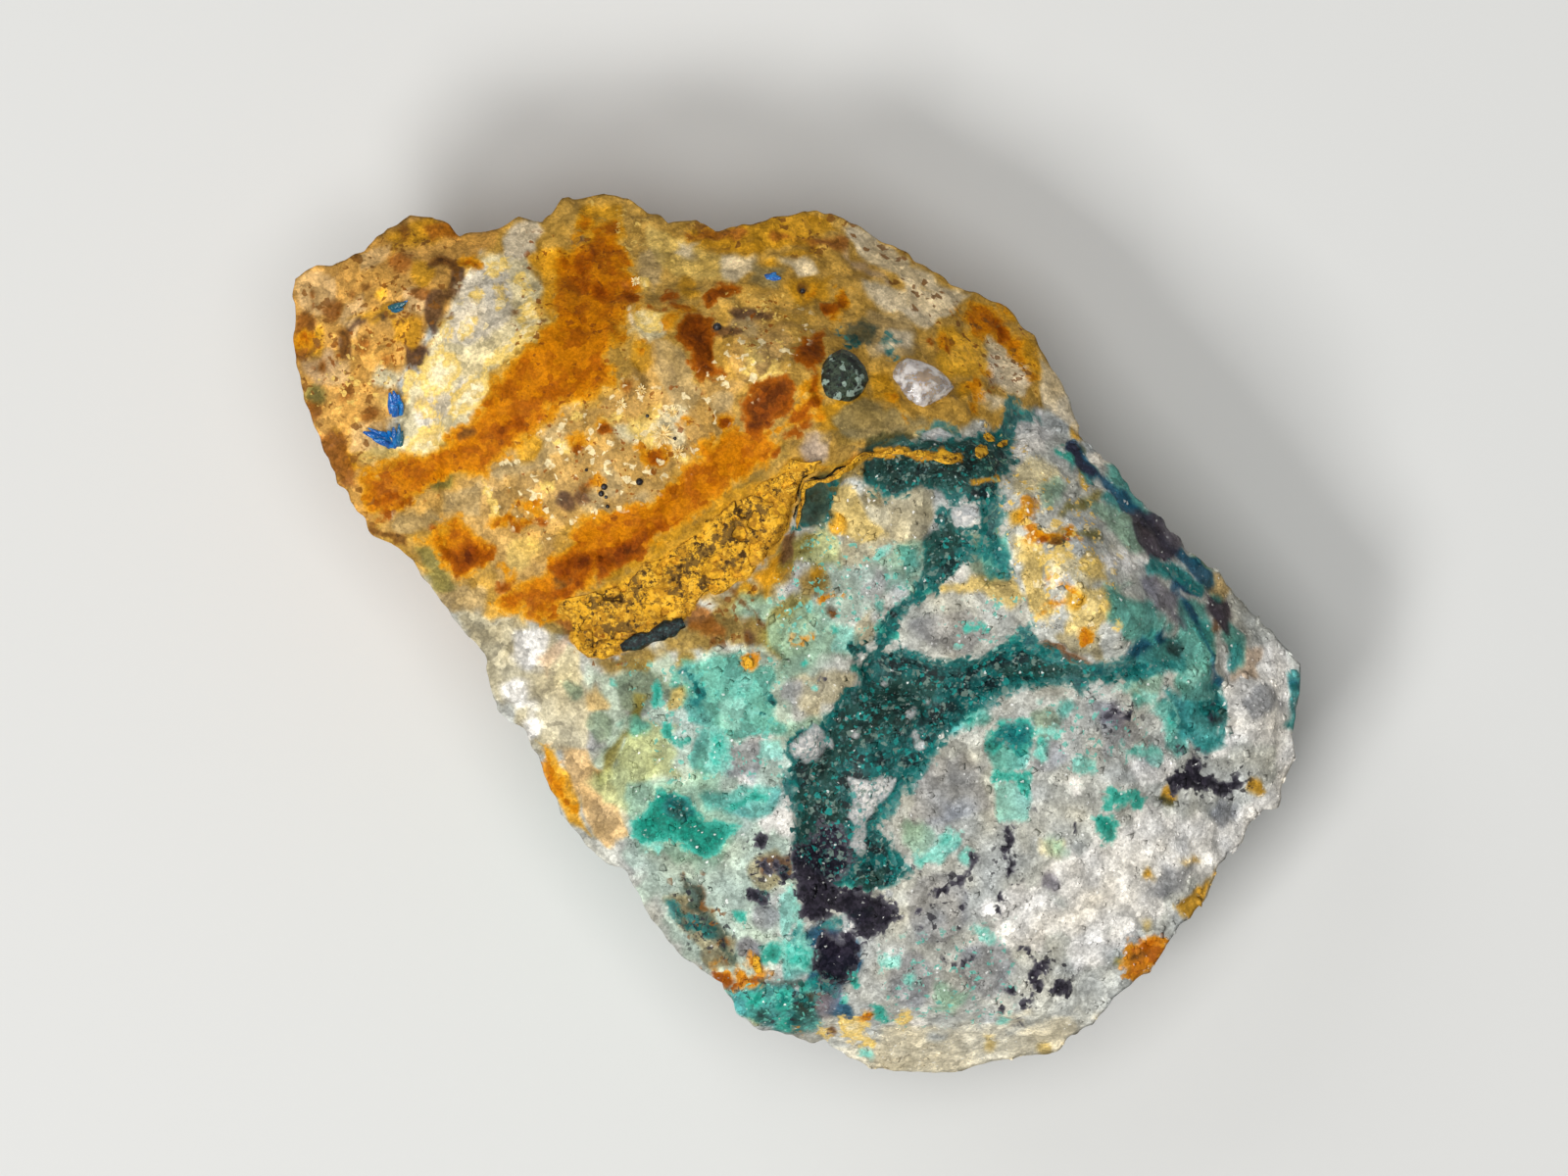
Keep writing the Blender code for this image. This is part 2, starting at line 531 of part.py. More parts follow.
quartz_matrix = make_stone()
ochre_crust = make_ochre_crust(quartz_matrix)
CLUSTER_COLOURS = ((0.01, 0.08, 0.35), (0.02, 0.10, 0.32), (0.04, 0.20, 0.22), (0.03, 0.12, 0.30))
for cluster, shade in zip(BLADE_CLUSTERS, CLUSTER_COLOURS):
    make_blade_cluster(quartz_matrix, *cluster, shade)
make_cream_spray(quartz_matrix)
make_clear_grain(quartz_matrix)
make_green_nodule(quartz_matrix)
make_black_green_lath(quartz_matrix, ochre_crust)
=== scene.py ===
"""Mrazekite specimen: the finish of a broken lump of iron-stained vein quartz and its growths.

Every outline and place is read on the specimen's plan: a sheet seen from above, x to the right, y down,
in steps of PLAN_STEP. Heights are in millimetres above the flat face that the stone rests on.
"""

import functools
import itertools
import math

import bmesh
import bpy
import numpy as np
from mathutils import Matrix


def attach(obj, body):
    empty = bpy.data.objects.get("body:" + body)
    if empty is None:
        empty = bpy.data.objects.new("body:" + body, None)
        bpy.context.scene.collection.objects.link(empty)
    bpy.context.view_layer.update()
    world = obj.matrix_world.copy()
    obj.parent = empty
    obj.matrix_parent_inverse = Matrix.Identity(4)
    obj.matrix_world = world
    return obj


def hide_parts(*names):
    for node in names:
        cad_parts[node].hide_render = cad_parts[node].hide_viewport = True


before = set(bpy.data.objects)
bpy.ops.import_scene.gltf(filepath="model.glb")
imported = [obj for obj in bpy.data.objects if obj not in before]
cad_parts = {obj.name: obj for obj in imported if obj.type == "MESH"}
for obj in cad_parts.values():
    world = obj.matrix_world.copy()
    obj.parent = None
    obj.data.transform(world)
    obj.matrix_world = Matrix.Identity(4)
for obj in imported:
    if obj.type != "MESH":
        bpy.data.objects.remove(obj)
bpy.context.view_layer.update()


def corners_of(*run):
    """The x and y of each corner from a plain run of x, y, x, y."""
    return list(zip(run[::2], run[1::2]))


# ---- the specimen's plan -------------------------------------------------------------------------
MM = 0.001
RIM = corners_of(
    301, 284, 324, 271, 347, 270, 374, 250, 398, 230, 419, 218, 441, 220, 471, 239, 505, 233, 529, 221, 553,
    227, 570, 204, 617, 196, 641, 202, 682, 228, 711, 222, 729, 235, 773, 225, 833, 213, 860, 220, 899, 243,
    946, 272, 994, 299, 1028, 312, 1056, 344, 1090, 403, 1106, 450, 1134, 471, 1156, 502, 1186, 529, 1212,
    559, 1240, 579, 1262, 609, 1308, 653, 1329, 679, 1327, 718, 1318, 750, 1322, 775, 1310, 804, 1305, 825,
    1284, 829, 1268, 859, 1244, 882, 1235, 916, 1209, 938, 1193, 962, 1175, 992, 1146, 1010, 1114, 1045,
    1091, 1060, 1081, 1074, 1053, 1079, 1026, 1081, 983, 1095, 940, 1097, 903, 1090, 889, 1090, 864, 1080,
    840, 1061, 831, 1066, 796, 1053, 771, 1049, 754, 1032, 734, 999, 711, 982, 691, 971, 675, 950, 664, 938,
    653, 911, 640, 886, 611, 874, 587, 847, 572, 830, 564, 808, 548, 771, 535, 746, 506, 725, 500, 692, 494,
    666, 469, 637, 446, 608, 431, 586, 422, 569, 380, 544, 352, 502, 328, 456, 312, 408, 303, 365, 298, 340,
)
STONE_LENGTH = 0.0464  # metres along X, as in the frame
PLAN_STEP = STONE_LENGTH / (1329 - 298)
PLAN_CENTRE = np.array((813.5, 646.5))
CORNER_UPPER_LEFT, CORNER_UPPER_RIGHT, CORNER_EAST, CORNER_BOTTOM = 0, 19, 34, 62

# x and y on the plan, the face's height there in mm, its downhill direction on the plan, its slope
FACES = (
    (790, 600, 17.2, 0.60, 0.80, 3),  # crown
    (450, 400, 16.0, -0.75, -0.66, 18),  # left shoulder
    (700, 330, 16.2, 0.00, -1.00, 42),  # top slope
    (960, 300, 11.0, 0.50, -0.87, 45),  # upper right slope
    (1180, 500, 10.5, 0.77, -0.64, 50),  # right flank
    (1320, 740, 9.5, 0.99, 0.10, 40),  # east end
    (1210, 935, 12.5, 0.76, 0.66, 25),  # lower right slope
    (950, 1090, 9.5, 0.10, 1.00, 62),  # bottom lip
    (560, 790, 15.3, -0.80, 0.60, 12),  # near edge, over the steep side
)
EDGE_SOFTNESS = 0.35  # mm
# x, y, half width and half height on the plan, rise in mm
MOUNDS = (
    (1115, 560, 75, 110, 1.1),  # quartz island inside the vein's loop
    (660, 480, 90, 60, 0.6),  # pale speckled quartz
    (620, 735, 45, 60, 0.6),  # greenish quartz above the near edge
    (1000, 900, 110, 70, 0.5),  # lower right quartz
    (1285, 740, 35, 60, 0.7),  # east end block
    (885, 835, 28, 40, -0.4),  # white window in the vein
    (822, 762, 20, 18, 0.5),  # pink block beside the vein
    (470, 350, 50, 70, 0.5),  # cream shoulder
    (1015, 350, 30, 45, -0.7),  # hollow at the upper right
    (870, 1062, 45, 18, -0.9),  # hollow with crystals at the bottom
    (690, 830, 30, 22, 0.3),  # malachite patch
)
# points on the plan, half width on the plan, depth in mm
GROOVES = (
    (((884, 477), (940, 447), (1010, 444), (1058, 426)), 20, 0.8),  # vein, upper edge of its loop
    (((1030, 450), (1024, 520), (1018, 578)), 18, 0.7),  # vein, right side of the loop
    (((953, 500), (962, 555), (928, 620), (895, 668)), 18, 0.7),  # vein, left side of the loop
    (((890, 690), (950, 705), (1040, 672), (1120, 688), (1195, 662)), 22, 0.9),  # vein, eastern arm
    (((905, 690), (850, 760), (830, 830), (855, 900), (845, 990)), 24, 0.9),  # vein, trunk
    (((950, 730), (915, 790), (892, 870), (905, 930), (860, 985)), 18, 0.8),  # vein, trunk's far side
    (((648, 735), (632, 762), (615, 789)), 9, 0.7),  # ledge above the near edge
    (((842, 483), (815, 510), (806, 540), (770, 600)), 7, 0.6),  # seam along the ochre crust
)
GRAINS = ((150, 1.5, 3), (62, 0.8, 11))  # size of the broken grains on the plan, relief in mm, seed
BASE_SHARE = 0.80  # of the rim's size
BASE_SHIFT = (-14, 12)  # plan steps
BASE_CORNERS = 5  # one in so many of the rim's corners is kept
BASE_ROUNDING, BASE_ROUNDING_POWER = 0.05, 7  # the foot's edge, drawn in towards the middle
WALL_BOW = 1.2  # over 1, the wall stands steeper near the rim than near the foot
WALL_GRAINS = ((170, 0.5, 41), (84, 0.3, 43), (44, 0.2, 47))
WALL_RELIEF = 4.4  # mm
WALL_PROUD = 0.30  # relief above which a wall's grain stands at its full width
WALL_TILT = 1.5
WALL_FOLD = 0.8  # how far in from the rim the wall's minerals are read, for each step down

# ---- the stone's fine surface --------------------------------------------------------------------
TOP_CELLS = 262
WALL_CELLS = 24
FINE_GRAINS = ((34, 0.22, 61), (16, 0.09, 67), (8, 0.03, 71))  # size on the plan, relief in mm, seed
EDGE_NOTCH = 3.0  # how far the rim's small notches reach, in plan steps
EDGE_NOTCH_FIELD = (12, 81)  # their size in plan steps, seed
SUGAR_LOWEST = 0.0008  # metres over the resting face
SUGAR_STEEPEST = -0.2  # the least that the face under a crystal may look up
SUGAR_LEAN = 0.5  # how far a crystal's axis may lean, against its length
SUGAR_SUNK = 0.05  # of its size
SUGAR_RELIEF = 0.1  # added to the stone's own relief, so that the painted shade of low relief darkens the crystals less
SUGAR_REACHES = (0.30, 1.0, 0.7)  # along its axis and to both sides, in times its size
SUGAR_FACES = ((0, 2, 4), (0, 4, 3), (0, 3, 5), (0, 5, 2), (1, 4, 2), (1, 3, 4), (1, 5, 3), (1, 2, 5))

# ---- the quartz's own tones ----------------------------------------------------------------------
QUARTZ_TONE = (0.77, 0.77, 0.73)  # under every tint
# From the lowest tint up: its tone, how soft its edge is in plan steps, how much it covers, and its places.
# Patches are outlines and strokes are (path, half width), both as runs of x, y; spots are (x, y, radius).
TINTS = {
    "green_mist": ((0.72, 0.80, 0.72), 24, 0.75, dict(patches=(
        (600, 680, 700, 670, 800, 640, 850, 560, 900, 540, 880, 620, 820, 720, 800, 860, 800, 950, 760, 1020,
        700, 980, 640, 880, 630, 820, 600, 740), (650, 868, 700, 866, 706, 895, 690, 916, 668, 924, 654,
        900),
    ))),
    "golden_tan": ((0.86, 0.64, 0.31), 14, 1.0, dict(patches=(
        (260, 160, 570, 160, 560, 235, 495, 265, 465, 300, 430, 365, 405, 400, 400, 440, 380, 570, 260, 430),
    ))),
    "honey_quartz": ((0.80, 0.62, 0.28), 16, 1.0, dict(patches=(
        (556, 160, 1000, 160, 1110, 400, 1060, 420, 1000, 440, 930, 445, 850, 480, 800, 545, 740, 600, 640,
        640, 560, 640, 480, 620, 390, 560, 400, 440, 470, 300),
    ))),
    "pale_quartz": ((0.79, 0.62, 0.34), 10, 0.95, dict(patches=(
        (500, 470, 560, 430, 640, 400, 650, 350, 668, 345, 700, 395, 750, 385, 745, 330, 800, 320, 812, 345,
        795, 385, 750, 402, 752, 440, 712, 455, 680, 500, 650, 530, 600, 520, 570, 550, 560, 590, 510, 600,
        500, 560, 480, 545, 430, 540, 380, 545, 420, 510, 470, 495),
    ))),
    "beige_quartz": ((0.76, 0.71, 0.57), 12, 0.9, dict(patches=(
        (470, 620, 560, 640, 600, 690, 606, 762, 560, 770, 490, 700), (805, 685, 870, 690, 860, 715, 835,
        738, 815, 735), (862, 545, 900, 545, 890, 575, 850, 575), (880, 620, 895, 620, 890, 640, 872, 668,
        872, 640), (868, 496, 900, 506, 948, 502, 958, 525, 935, 560, 890, 558, 868, 530),
    ))),
    "white_quartz_and_highlights": ((0.97, 0.95, 0.91), 12, 0.95, dict(patches=(
        (1090, 870, 1160, 830, 1240, 830, 1300, 800, 1300, 760, 1240, 770, 1250, 660, 1300, 655, 1330, 690,
        1330, 830, 1240, 900, 1190, 900, 1190, 930, 1150, 960, 1100, 990, 1080, 940), (750, 812, 805, 805,
        812, 850, 780, 850), (1148, 772, 1196, 768, 1202, 795, 1160, 802), (1040, 428, 1062, 420, 1082, 440,
        1066, 458, 1040, 462), (1075, 572, 1105, 565, 1100, 590, 1075, 592), (1110, 565, 1150, 558, 1172,
        572, 1150, 590, 1120, 585), (973, 515, 999, 515, 1001, 532, 975, 535), (520, 640, 556, 645, 552, 680,
        528, 672), (945, 582, 985, 575, 975, 588, 950, 600), (760, 745, 790, 745, 785, 765, 768, 770),
    # White quartz; the spots at (1170, 830) and (1098, 798) are painted highlights on clear crystals.
    ), spots=(
        (540, 742, 12), (528, 708, 12), (704, 798, 7), (760, 795, 9), (1170, 830, 11), (1098, 798, 8), (1095,
        895, 30), (1050, 935, 34), (1170, 658, 7), (1088, 655, 6), (940, 1042, 7), (1005, 925, 9),
    ))),
    "cream_white": ((0.94, 0.88, 0.70), 10, 0.92, dict(patches=(
        (472, 280, 500, 262, 535, 266, 550, 292, 548, 330, 520, 365, 500, 392, 478, 425, 455, 452, 420, 468,
        398, 455, 408, 430, 420, 395, 432, 372, 445, 345, 462, 318), (638, 338, 660, 326, 680, 330, 672, 345,
        650, 348), (632, 438, 668, 430, 700, 410, 696, 460, 650, 462), (1035, 545, 1060, 556, 1052, 580,
        1036, 575), (1088, 575, 1120, 580, 1112, 610, 1092, 612), (1034, 480, 1052, 466, 1080, 474, 1080,
        500, 1036, 508), (1064, 570, 1095, 566, 1090, 588, 1066, 588), (590, 800, 635, 820, 635, 855, 604,
        848), (575, 655, 592, 662, 590, 700, 572, 695), (1060, 855, 1082, 858, 1080, 872, 1062, 870),
    ), spots=((400, 386, 12), (385, 458, 8)))),
    "warm_grey": ((0.78, 0.66, 0.44), 8, 0.85, dict(patches=(
        (645, 252, 672, 255, 682, 288, 668, 300, 655, 290), (500, 482, 540, 450, 575, 432, 588, 445, 548,
        478, 515, 492), (668, 345, 692, 352, 706, 388, 688, 400, 672, 380), (452, 500, 490, 495, 486, 520,
        455, 520), (400, 535, 420, 522, 440, 520, 450, 532, 430, 543, 405, 545), (430, 590, 500, 600, 500,
        625, 455, 620), (884, 318, 934, 316, 930, 360, 888, 362),
    ), spots=(
        (602, 512, 12), (625, 492, 13), (655, 512, 9), (702, 402, 12), (762, 332, 11), (555, 472, 10), (436,
        416, 13), (735, 412, 8), (610, 715, 12), (1235, 560, 14), (1245, 600, 12),
    ))),
    "cool_grey": ((0.60, 0.60, 0.60), 10, 0.8, dict(patches=(
        (925, 630, 985, 625, 1005, 645, 985, 672, 950, 662, 928, 645), (1118, 720, 1150, 716, 1160, 750,
        1130, 765), (930, 780, 1010, 770, 1010, 830, 930, 840), (795, 700, 815, 698, 812, 715, 795, 715),
        (742, 760, 775, 762, 770, 790, 745, 785), (632, 705, 645, 690, 665, 690, 673, 705, 660, 730, 640,
        735), (1185, 885, 1215, 885, 1215, 915, 1180, 915), (600, 750, 622, 735, 618, 765, 598, 775),
    ), spots=(
        (960, 925, 34), (1010, 985, 30), (930, 1000, 26), (1290, 715, 16), (1070, 770, 18), (1250, 830, 16),
        (552, 620, 14), (705, 935, 12), (780, 935, 16), (832, 460, 14), (820, 600, 16),
    ))),
    "sage_grey": ((0.46, 0.53, 0.44), 8, 0.8, dict(patches=(
        (626, 688, 650, 680, 672, 690, 674, 715, 655, 730, 630, 722), (676, 690, 700, 694, 706, 716, 680,
        720), (985, 545, 1022, 545, 1026, 590, 990, 585),
    ), spots=((1062, 737, 15), (585, 704, 9), (614, 740, 14)))),
    "pink_grey": ((0.80, 0.68, 0.55), 9, 0.75, dict(patches=(
        (815, 438, 848, 440, 850, 470, 818, 478), (1000, 362, 1040, 362, 1048, 392, 1012, 392), (1255, 655,
        1290, 660, 1280, 690, 1262, 690), (580, 650, 560, 690, 545, 670), (310, 355, 340, 350, 350, 380, 325,
        390),
    ), strokes=(((862, 262, 885, 276, 906, 288), 4),))),
    # Painted light: the steep bottom lip is painted paler than its quartz, to lift the shade that falls on
    # that face.
    "lip_lightened_quartz": ((0.94, 0.89, 0.76), 20, 0.8, dict(patches=(
        (870, 1056, 960, 1050, 1080, 1036, 1130, 1030, 1060, 1110, 900, 1110, 840, 1070),
    ))),
    "straw": ((0.89, 0.75, 0.40), 8, 0.75, dict(patches=(
        (665, 470, 640, 440, 652, 425, 675, 410, 668, 432, 670, 450), (515, 560, 540, 548, 556, 556, 540,
        575, 520, 580), (755, 350, 776, 348, 778, 372, 758, 378), (840, 500, 868, 496, 880, 520, 905, 545,
        870, 548, 846, 535), (1038, 556, 1052, 546, 1072, 562, 1064, 600, 1086, 624, 1070, 640, 1052, 620,
        1044, 590), (1108, 560, 1128, 575, 1128, 592, 1112, 596, 1100, 580), (1080, 598, 1125, 600, 1136,
        625, 1112, 650, 1085, 648), (960, 600, 985, 588, 1030, 590, 1046, 608, 1030, 622, 1000, 604, 975,
        610), (680, 700, 706, 695, 700, 720, 682, 722), (660, 235, 706, 245, 740, 262, 740, 285, 690, 282,
        668, 265), (365, 462, 385, 455, 406, 462, 408, 470, 385, 473, 368, 475),
    ), spots=((1173, 945, 10), (1065, 1072, 8), (1010, 1068, 9), (395, 412, 6)))),
    "ochre_stain": ((0.60, 0.47, 0.19), 14, 0.85, dict(strokes=(
        ((812, 560, 780, 596, 735, 626, 704, 652), 14), ((600, 640, 570, 640, 560, 625), 12), ((620, 592,
        680, 558, 740, 514, 800, 462), 9), ((850, 480, 900, 470), 8), ((720, 660, 770, 640, 800, 660), 10),
        ((612, 676, 668, 668, 700, 652), 6),
    ), spots=((740, 640, 20), (860, 430, 26), (700, 672, 14), (830, 590, 12)))),
    "golden": ((0.97, 0.72, 0.20), 7, 0.9, dict(patches=(
        (568, 382, 600, 390, 594, 410, 560, 402), (588, 218, 600, 214, 602, 230, 590, 232), (1100, 470, 1112,
        480, 1108, 496, 1098, 486), (955, 332, 1000, 338, 1012, 360, 1000, 388, 962, 380),
    ), spots=((355, 348, 6), (326, 340, 6), (392, 300, 5), (760, 605, 8)))),
    # Pale tan, partly the stone's own tone and partly painted highlight on the lit faces of the upper-left
    # corner's relief.
    "tan_light_and_highlight": ((0.92, 0.75, 0.50), 7, 0.85, dict(patches=(
        (303, 285, 325, 275, 343, 284, 340, 325, 318, 320, 306, 312), (345, 330, 352, 310, 372, 300, 376,
        318, 362, 340), (412, 296, 434, 290, 430, 318, 414, 322), (358, 434, 392, 434, 392, 462, 362, 458),
        (325, 384, 352, 372, 356, 392, 334, 400), (362, 262, 385, 248, 402, 250, 388, 268, 370, 276), (570,
        762, 600, 765, 626, 800, 640, 850, 618, 862, 592, 820),
    ))),
    "milky_grey": ((0.91, 0.86, 0.77), 7, 0.85, dict(patches=(
        (468, 280, 496, 272, 522, 276, 528, 300, 520, 330, 500, 346, 474, 352, 452, 346, 462, 318), (436,
        402, 462, 400, 470, 384, 484, 392, 458, 424, 430, 440, 424, 424), (505, 236, 545, 222, 556, 236, 548,
        262, 515, 260), (640, 290, 650, 300, 646, 330, 640, 320),
    ), spots=((1120, 470, 14), (1075, 545, 12), (900, 235, 9)))),
    "amber": ((0.84, 0.60, 0.13), 9, 0.85, dict(patches=(
        (640, 352, 662, 352, 660, 380, 650, 398, 642, 380), (590, 215, 635, 208, 642, 245, 600, 250), (750,
        225, 850, 214, 856, 235, 800, 250, 740, 262, 700, 250, 705, 235), (780, 262, 800, 258, 795, 275, 780,
        272), (805, 285, 845, 282, 845, 305, 810, 312), (885, 378, 908, 380, 912, 410, 888, 408), (840, 415,
        885, 418, 870, 440, 835, 440), (395, 240, 440, 222, 465, 235, 440, 250, 400, 255), (300, 340, 330,
        338, 325, 360, 302, 362), (1195, 925, 1245, 885, 1250, 900, 1215, 940), (770, 585, 800, 560, 806,
        580, 780, 610), (335, 430, 352, 440, 366, 480, 352, 480), (860, 380, 905, 420, 900, 440, 850, 440),
        (716, 520, 790, 484, 800, 500, 760, 528, 700, 560, 650, 580, 600, 600, 560, 622, 540, 628),
    ), strokes=(
        ((352, 328, 365, 322, 385, 324, 396, 318), 4), ((560, 262, 590, 268), 8), ((1030, 318, 1046, 345,
        1056, 370, 1062, 388), 6), ((800, 262, 832, 258), 3),
    ), spots=(
        (432, 276, 9), (704, 295, 8), (1060, 410, 7), (985, 400, 9), (1095, 440, 8), (1173, 892, 8), (1221,
        877, 8), (1281, 802, 8), (1190, 812, 8), (655, 372, 9), (450, 548, 12), (825, 552, 8), (830, 585, 6),
        (856, 536, 8), (1036, 528, 12), (540, 458, 14), (1096, 612, 8),
    ))),
    "red_brown": ((0.60, 0.35, 0.12), 8, 0.8, dict(patches=(
        (300, 322, 318, 326, 322, 350, 304, 362), (430, 226, 462, 226, 470, 240, 440, 246), (318, 440, 352,
        440, 366, 500, 350, 500, 330, 470), (395, 262, 420, 266, 416, 282, 398, 280), (412, 345, 440, 350,
        432, 364, 414, 362), (560, 625, 602, 628, 600, 655, 580, 650), (700, 612, 745, 640, 740, 655, 706,
        640),
    ), strokes=(((790, 240, 860, 250), 4), ((700, 240, 760, 236), 4),), spots=(
        (330, 375, 7), (345, 262, 8), (372, 350, 9), (338, 318, 9), (360, 300, 5), (428, 300, 8), (392, 366,
        7), (318, 300, 6), (410, 236, 8), (352, 398, 6), (380, 425, 7), (322, 420, 7), (720, 640, 7), (612,
        300, 12), (590, 330, 10), (560, 400, 10), (480, 452, 9), (640, 395, 7), (760, 478, 8), (520, 605,
        10), (600, 580, 9),
    ))),
    "rim_quartz": ((0.96, 0.88, 0.73), 9, 0.85, dict(patches=(
        (880, 284, 905, 282, 930, 300, 922, 316, 896, 312, 884, 302), (925, 292, 962, 290, 972, 318, 944,
        334, 926, 318), (1008, 345, 1030, 342, 1046, 372, 1050, 404, 1028, 404, 1010, 376), (1060, 352, 1092,
        400, 1100, 440, 1080, 436, 1064, 400), (866, 226, 905, 248, 950, 276, 992, 300, 975, 312, 930, 292,
        890, 266, 862, 240), (800, 268, 822, 262, 840, 276, 815, 284), (735, 262, 770, 266, 760, 284, 738,
        280), (690, 244, 712, 250, 704, 264, 688, 260),
    ), strokes=(((1000, 404, 1046, 420), 6), ((905, 352, 922, 348), 7)))),
    "khaki_grey": ((0.60, 0.54, 0.38), 9, 0.8, dict(patches=(
        (846, 424, 880, 410, 912, 420, 960, 430, 930, 444, 890, 448, 856, 446), (770, 272, 800, 276, 790,
        290, 765, 286), (1080, 648, 1120, 652, 1130, 676, 1090, 668), (676, 918, 700, 908, 724, 930, 748,
        962, 752, 985, 730, 985, 700, 960),
    ), spots=((785, 888, 18), (412, 420, 9), (770, 1002, 9), (890, 506, 14)))),
    "umber_green": ((0.28, 0.28, 0.18), 7, 0.85, dict(patches=(
        (880, 445, 915, 440, 940, 448, 905, 462, 884, 470), (824, 492, 852, 485, 848, 530, 816, 540, 814,
        518),
    ), strokes=(((1060, 545, 1082, 552), 6), ((1178, 815, 1196, 820), 5)))),
    "olive_green": ((0.52, 0.48, 0.24), 10, 0.85, dict(patches=(
        (790, 610, 830, 610, 832, 660, 800, 680, 780, 650), (455, 555, 425, 560, 445, 600, 460, 600), (400,
        482, 460, 480, 460, 498, 405, 500), (835, 478, 860, 480, 856, 500, 840, 500), (800, 548, 840, 545,
        830, 570, 800, 580), (500, 395, 520, 400, 505, 425, 496, 420),
    ), strokes=(
        ((656, 718, 645, 740, 628, 765, 616, 795), 4), ((1085, 522, 1118, 506), 5), ((1060, 540, 1120, 545),
        3),
    ), spots=((322, 402, 6), (1105, 460, 7), (1142, 980, 7)))),
    "pale_green": ((0.76, 0.78, 0.54), 12, 0.85, dict(patches=(
        (600, 800, 660, 735, 690, 740, 690, 790, 650, 800, 645, 830, 620, 820),
    ), spots=((772, 1036, 7), (840, 560, 18)))),
    "pale_aqua": ((0.59, 0.73, 0.63), 12, 0.85, dict(patches=(
        (640, 800, 720, 790, 760, 840, 730, 885, 650, 870), (780, 640, 840, 620, 870, 660, 800, 690), (760,
        600, 790, 612, 780, 640, 755, 625), (955, 1005, 990, 1010, 985, 1035, 955, 1030), (1058, 490, 1088,
        492, 1092, 515, 1062, 520), (900, 570, 940, 545, 960, 560, 930, 600, 900, 610), (1120, 588, 1150,
        595, 1140, 610, 1118, 604), (805, 735, 850, 730, 840, 745, 800, 755), (1098, 500, 1150, 520, 1172,
        570, 1140, 545),
    ), spots=((865, 655, 13), (1170, 700, 18), (935, 850, 18), (1080, 865, 12)))),
    "aqua": ((0.36, 0.67, 0.61), 9, 0.85, dict(patches=(
        (700, 675, 760, 668, 790, 690, 786, 720, 800, 745, 750, 755, 700, 738), (712, 745, 735, 740, 747,
        758, 745, 790, 720, 800, 705, 775), (703, 812, 760, 800, 800, 802, 790, 830, 745, 835), (1130, 600,
        1172, 612, 1192, 640, 1172, 664, 1148, 650, 1135, 630), (1150, 702, 1186, 712, 1212, 730, 1208, 765,
        1192, 762, 1182, 730, 1160, 722), (1202, 610, 1232, 612, 1240, 700, 1240, 740, 1210, 730, 1200, 690,
        1208, 660), (1205, 563, 1228, 570, 1238, 582, 1218, 582), (1004, 762, 1056, 762, 1052, 790, 1010,
        788), (1250, 630, 1262, 640, 1270, 680, 1256, 682), (915, 558, 935, 555, 940, 575, 925, 585), (815,
        945, 830, 950, 850, 990, 800, 1000, 795, 975), (995, 560, 1030, 540, 1032, 588, 1010, 590), (935,
        880, 975, 850, 980, 862, 955, 885), (1130, 470, 1158, 505, 1180, 528, 1160, 525, 1135, 498),
    ), spots=(
        (1002, 732, 9), (754, 732, 8), (770, 728, 9), (895, 618, 5), (648, 742, 12), (690, 690, 7), (884,
        1078, 8), (1100, 780, 9), (1062, 762, 10), (985, 874, 7), (1085, 724, 6),
    ))),
    "sea_green": ((0.24, 0.59, 0.57), 7, 0.85, dict(patches=(
        (1140, 690, 1158, 672, 1152, 665, 1172, 640, 1205, 655, 1208, 680, 1175, 688, 1150, 700), (1190, 705,
        1205, 712, 1240, 720, 1246, 757, 1226, 764, 1202, 745), (960, 690, 1010, 690, 1000, 730, 965, 750),
        (1318, 690, 1330, 690, 1326, 745, 1315, 740), (1095, 460, 1120, 472, 1128, 490, 1112, 488), (1080,
        455, 1098, 470, 1095, 478, 1078, 462), (742, 1006, 800, 1004, 832, 1014, 842, 1036, 830, 1052, 790,
        1052, 762, 1036),
    ), strokes=(
        ((1228, 640, 1240, 680, 1246, 720, 1246, 755, 1230, 762), 5), ((1262, 660, 1258, 680), 4), ((1130,
        505, 1145, 522), 5), ((1175, 580, 1195, 582, 1225, 600), 6),
    ), spots=((1240, 610, 6),))),
    "bright_aqua": ((0.62, 0.87, 0.80), 4, 0.9, dict(patches=(
        (1014, 798, 1045, 798, 1050, 812, 1048, 836, 1018, 838), (855, 638, 872, 640, 870, 666, 848, 660),
        (940, 878, 952, 866, 966, 852, 978, 852, 970, 864, 950, 882), (1093, 774, 1118, 776, 1116, 788, 1094,
        787), (735, 715, 758, 716, 756, 744, 736, 744), (798, 912, 812, 914, 812, 940, 800, 962, 794, 940),
        (992, 944, 1008, 950, 1012, 964, 998, 958), (918, 975, 902, 975, 900, 986, 916, 986), (1160, 702,
        1184, 708, 1180, 720, 1164, 714), (775, 756, 798, 756, 796, 772, 776, 772),
    ), spots=((930, 731, 6), (1062, 664, 5), (1178, 772, 10), (1218, 692, 9)))),
    "slate_blue": ((0.10, 0.30, 0.42), 6, 0.8, dict(patches=(
        (818, 948, 845, 942, 880, 960, 880, 990, 850, 1012, 820, 1005, 830, 975), (1188, 580, 1212, 590,
        1228, 602, 1222, 610, 1200, 602), (1148, 672, 1164, 650, 1180, 655, 1160, 680), (990, 690, 1020, 688,
        1005, 712, 985, 718),
    ), strokes=(
        ((1094, 456, 1130, 494, 1168, 530, 1206, 566, 1236, 596), 6), ((850, 1000, 850, 1020, 862, 1036), 9),
        ((1205, 604, 1230, 650, 1244, 700), 3),
    ), spots=((1182, 650, 7), (1322, 700, 5), (1148, 518, 5)))),
    # Mauve-brown spots and patches; the stroke from (438, 268) to (452, 306) and the patch below it at
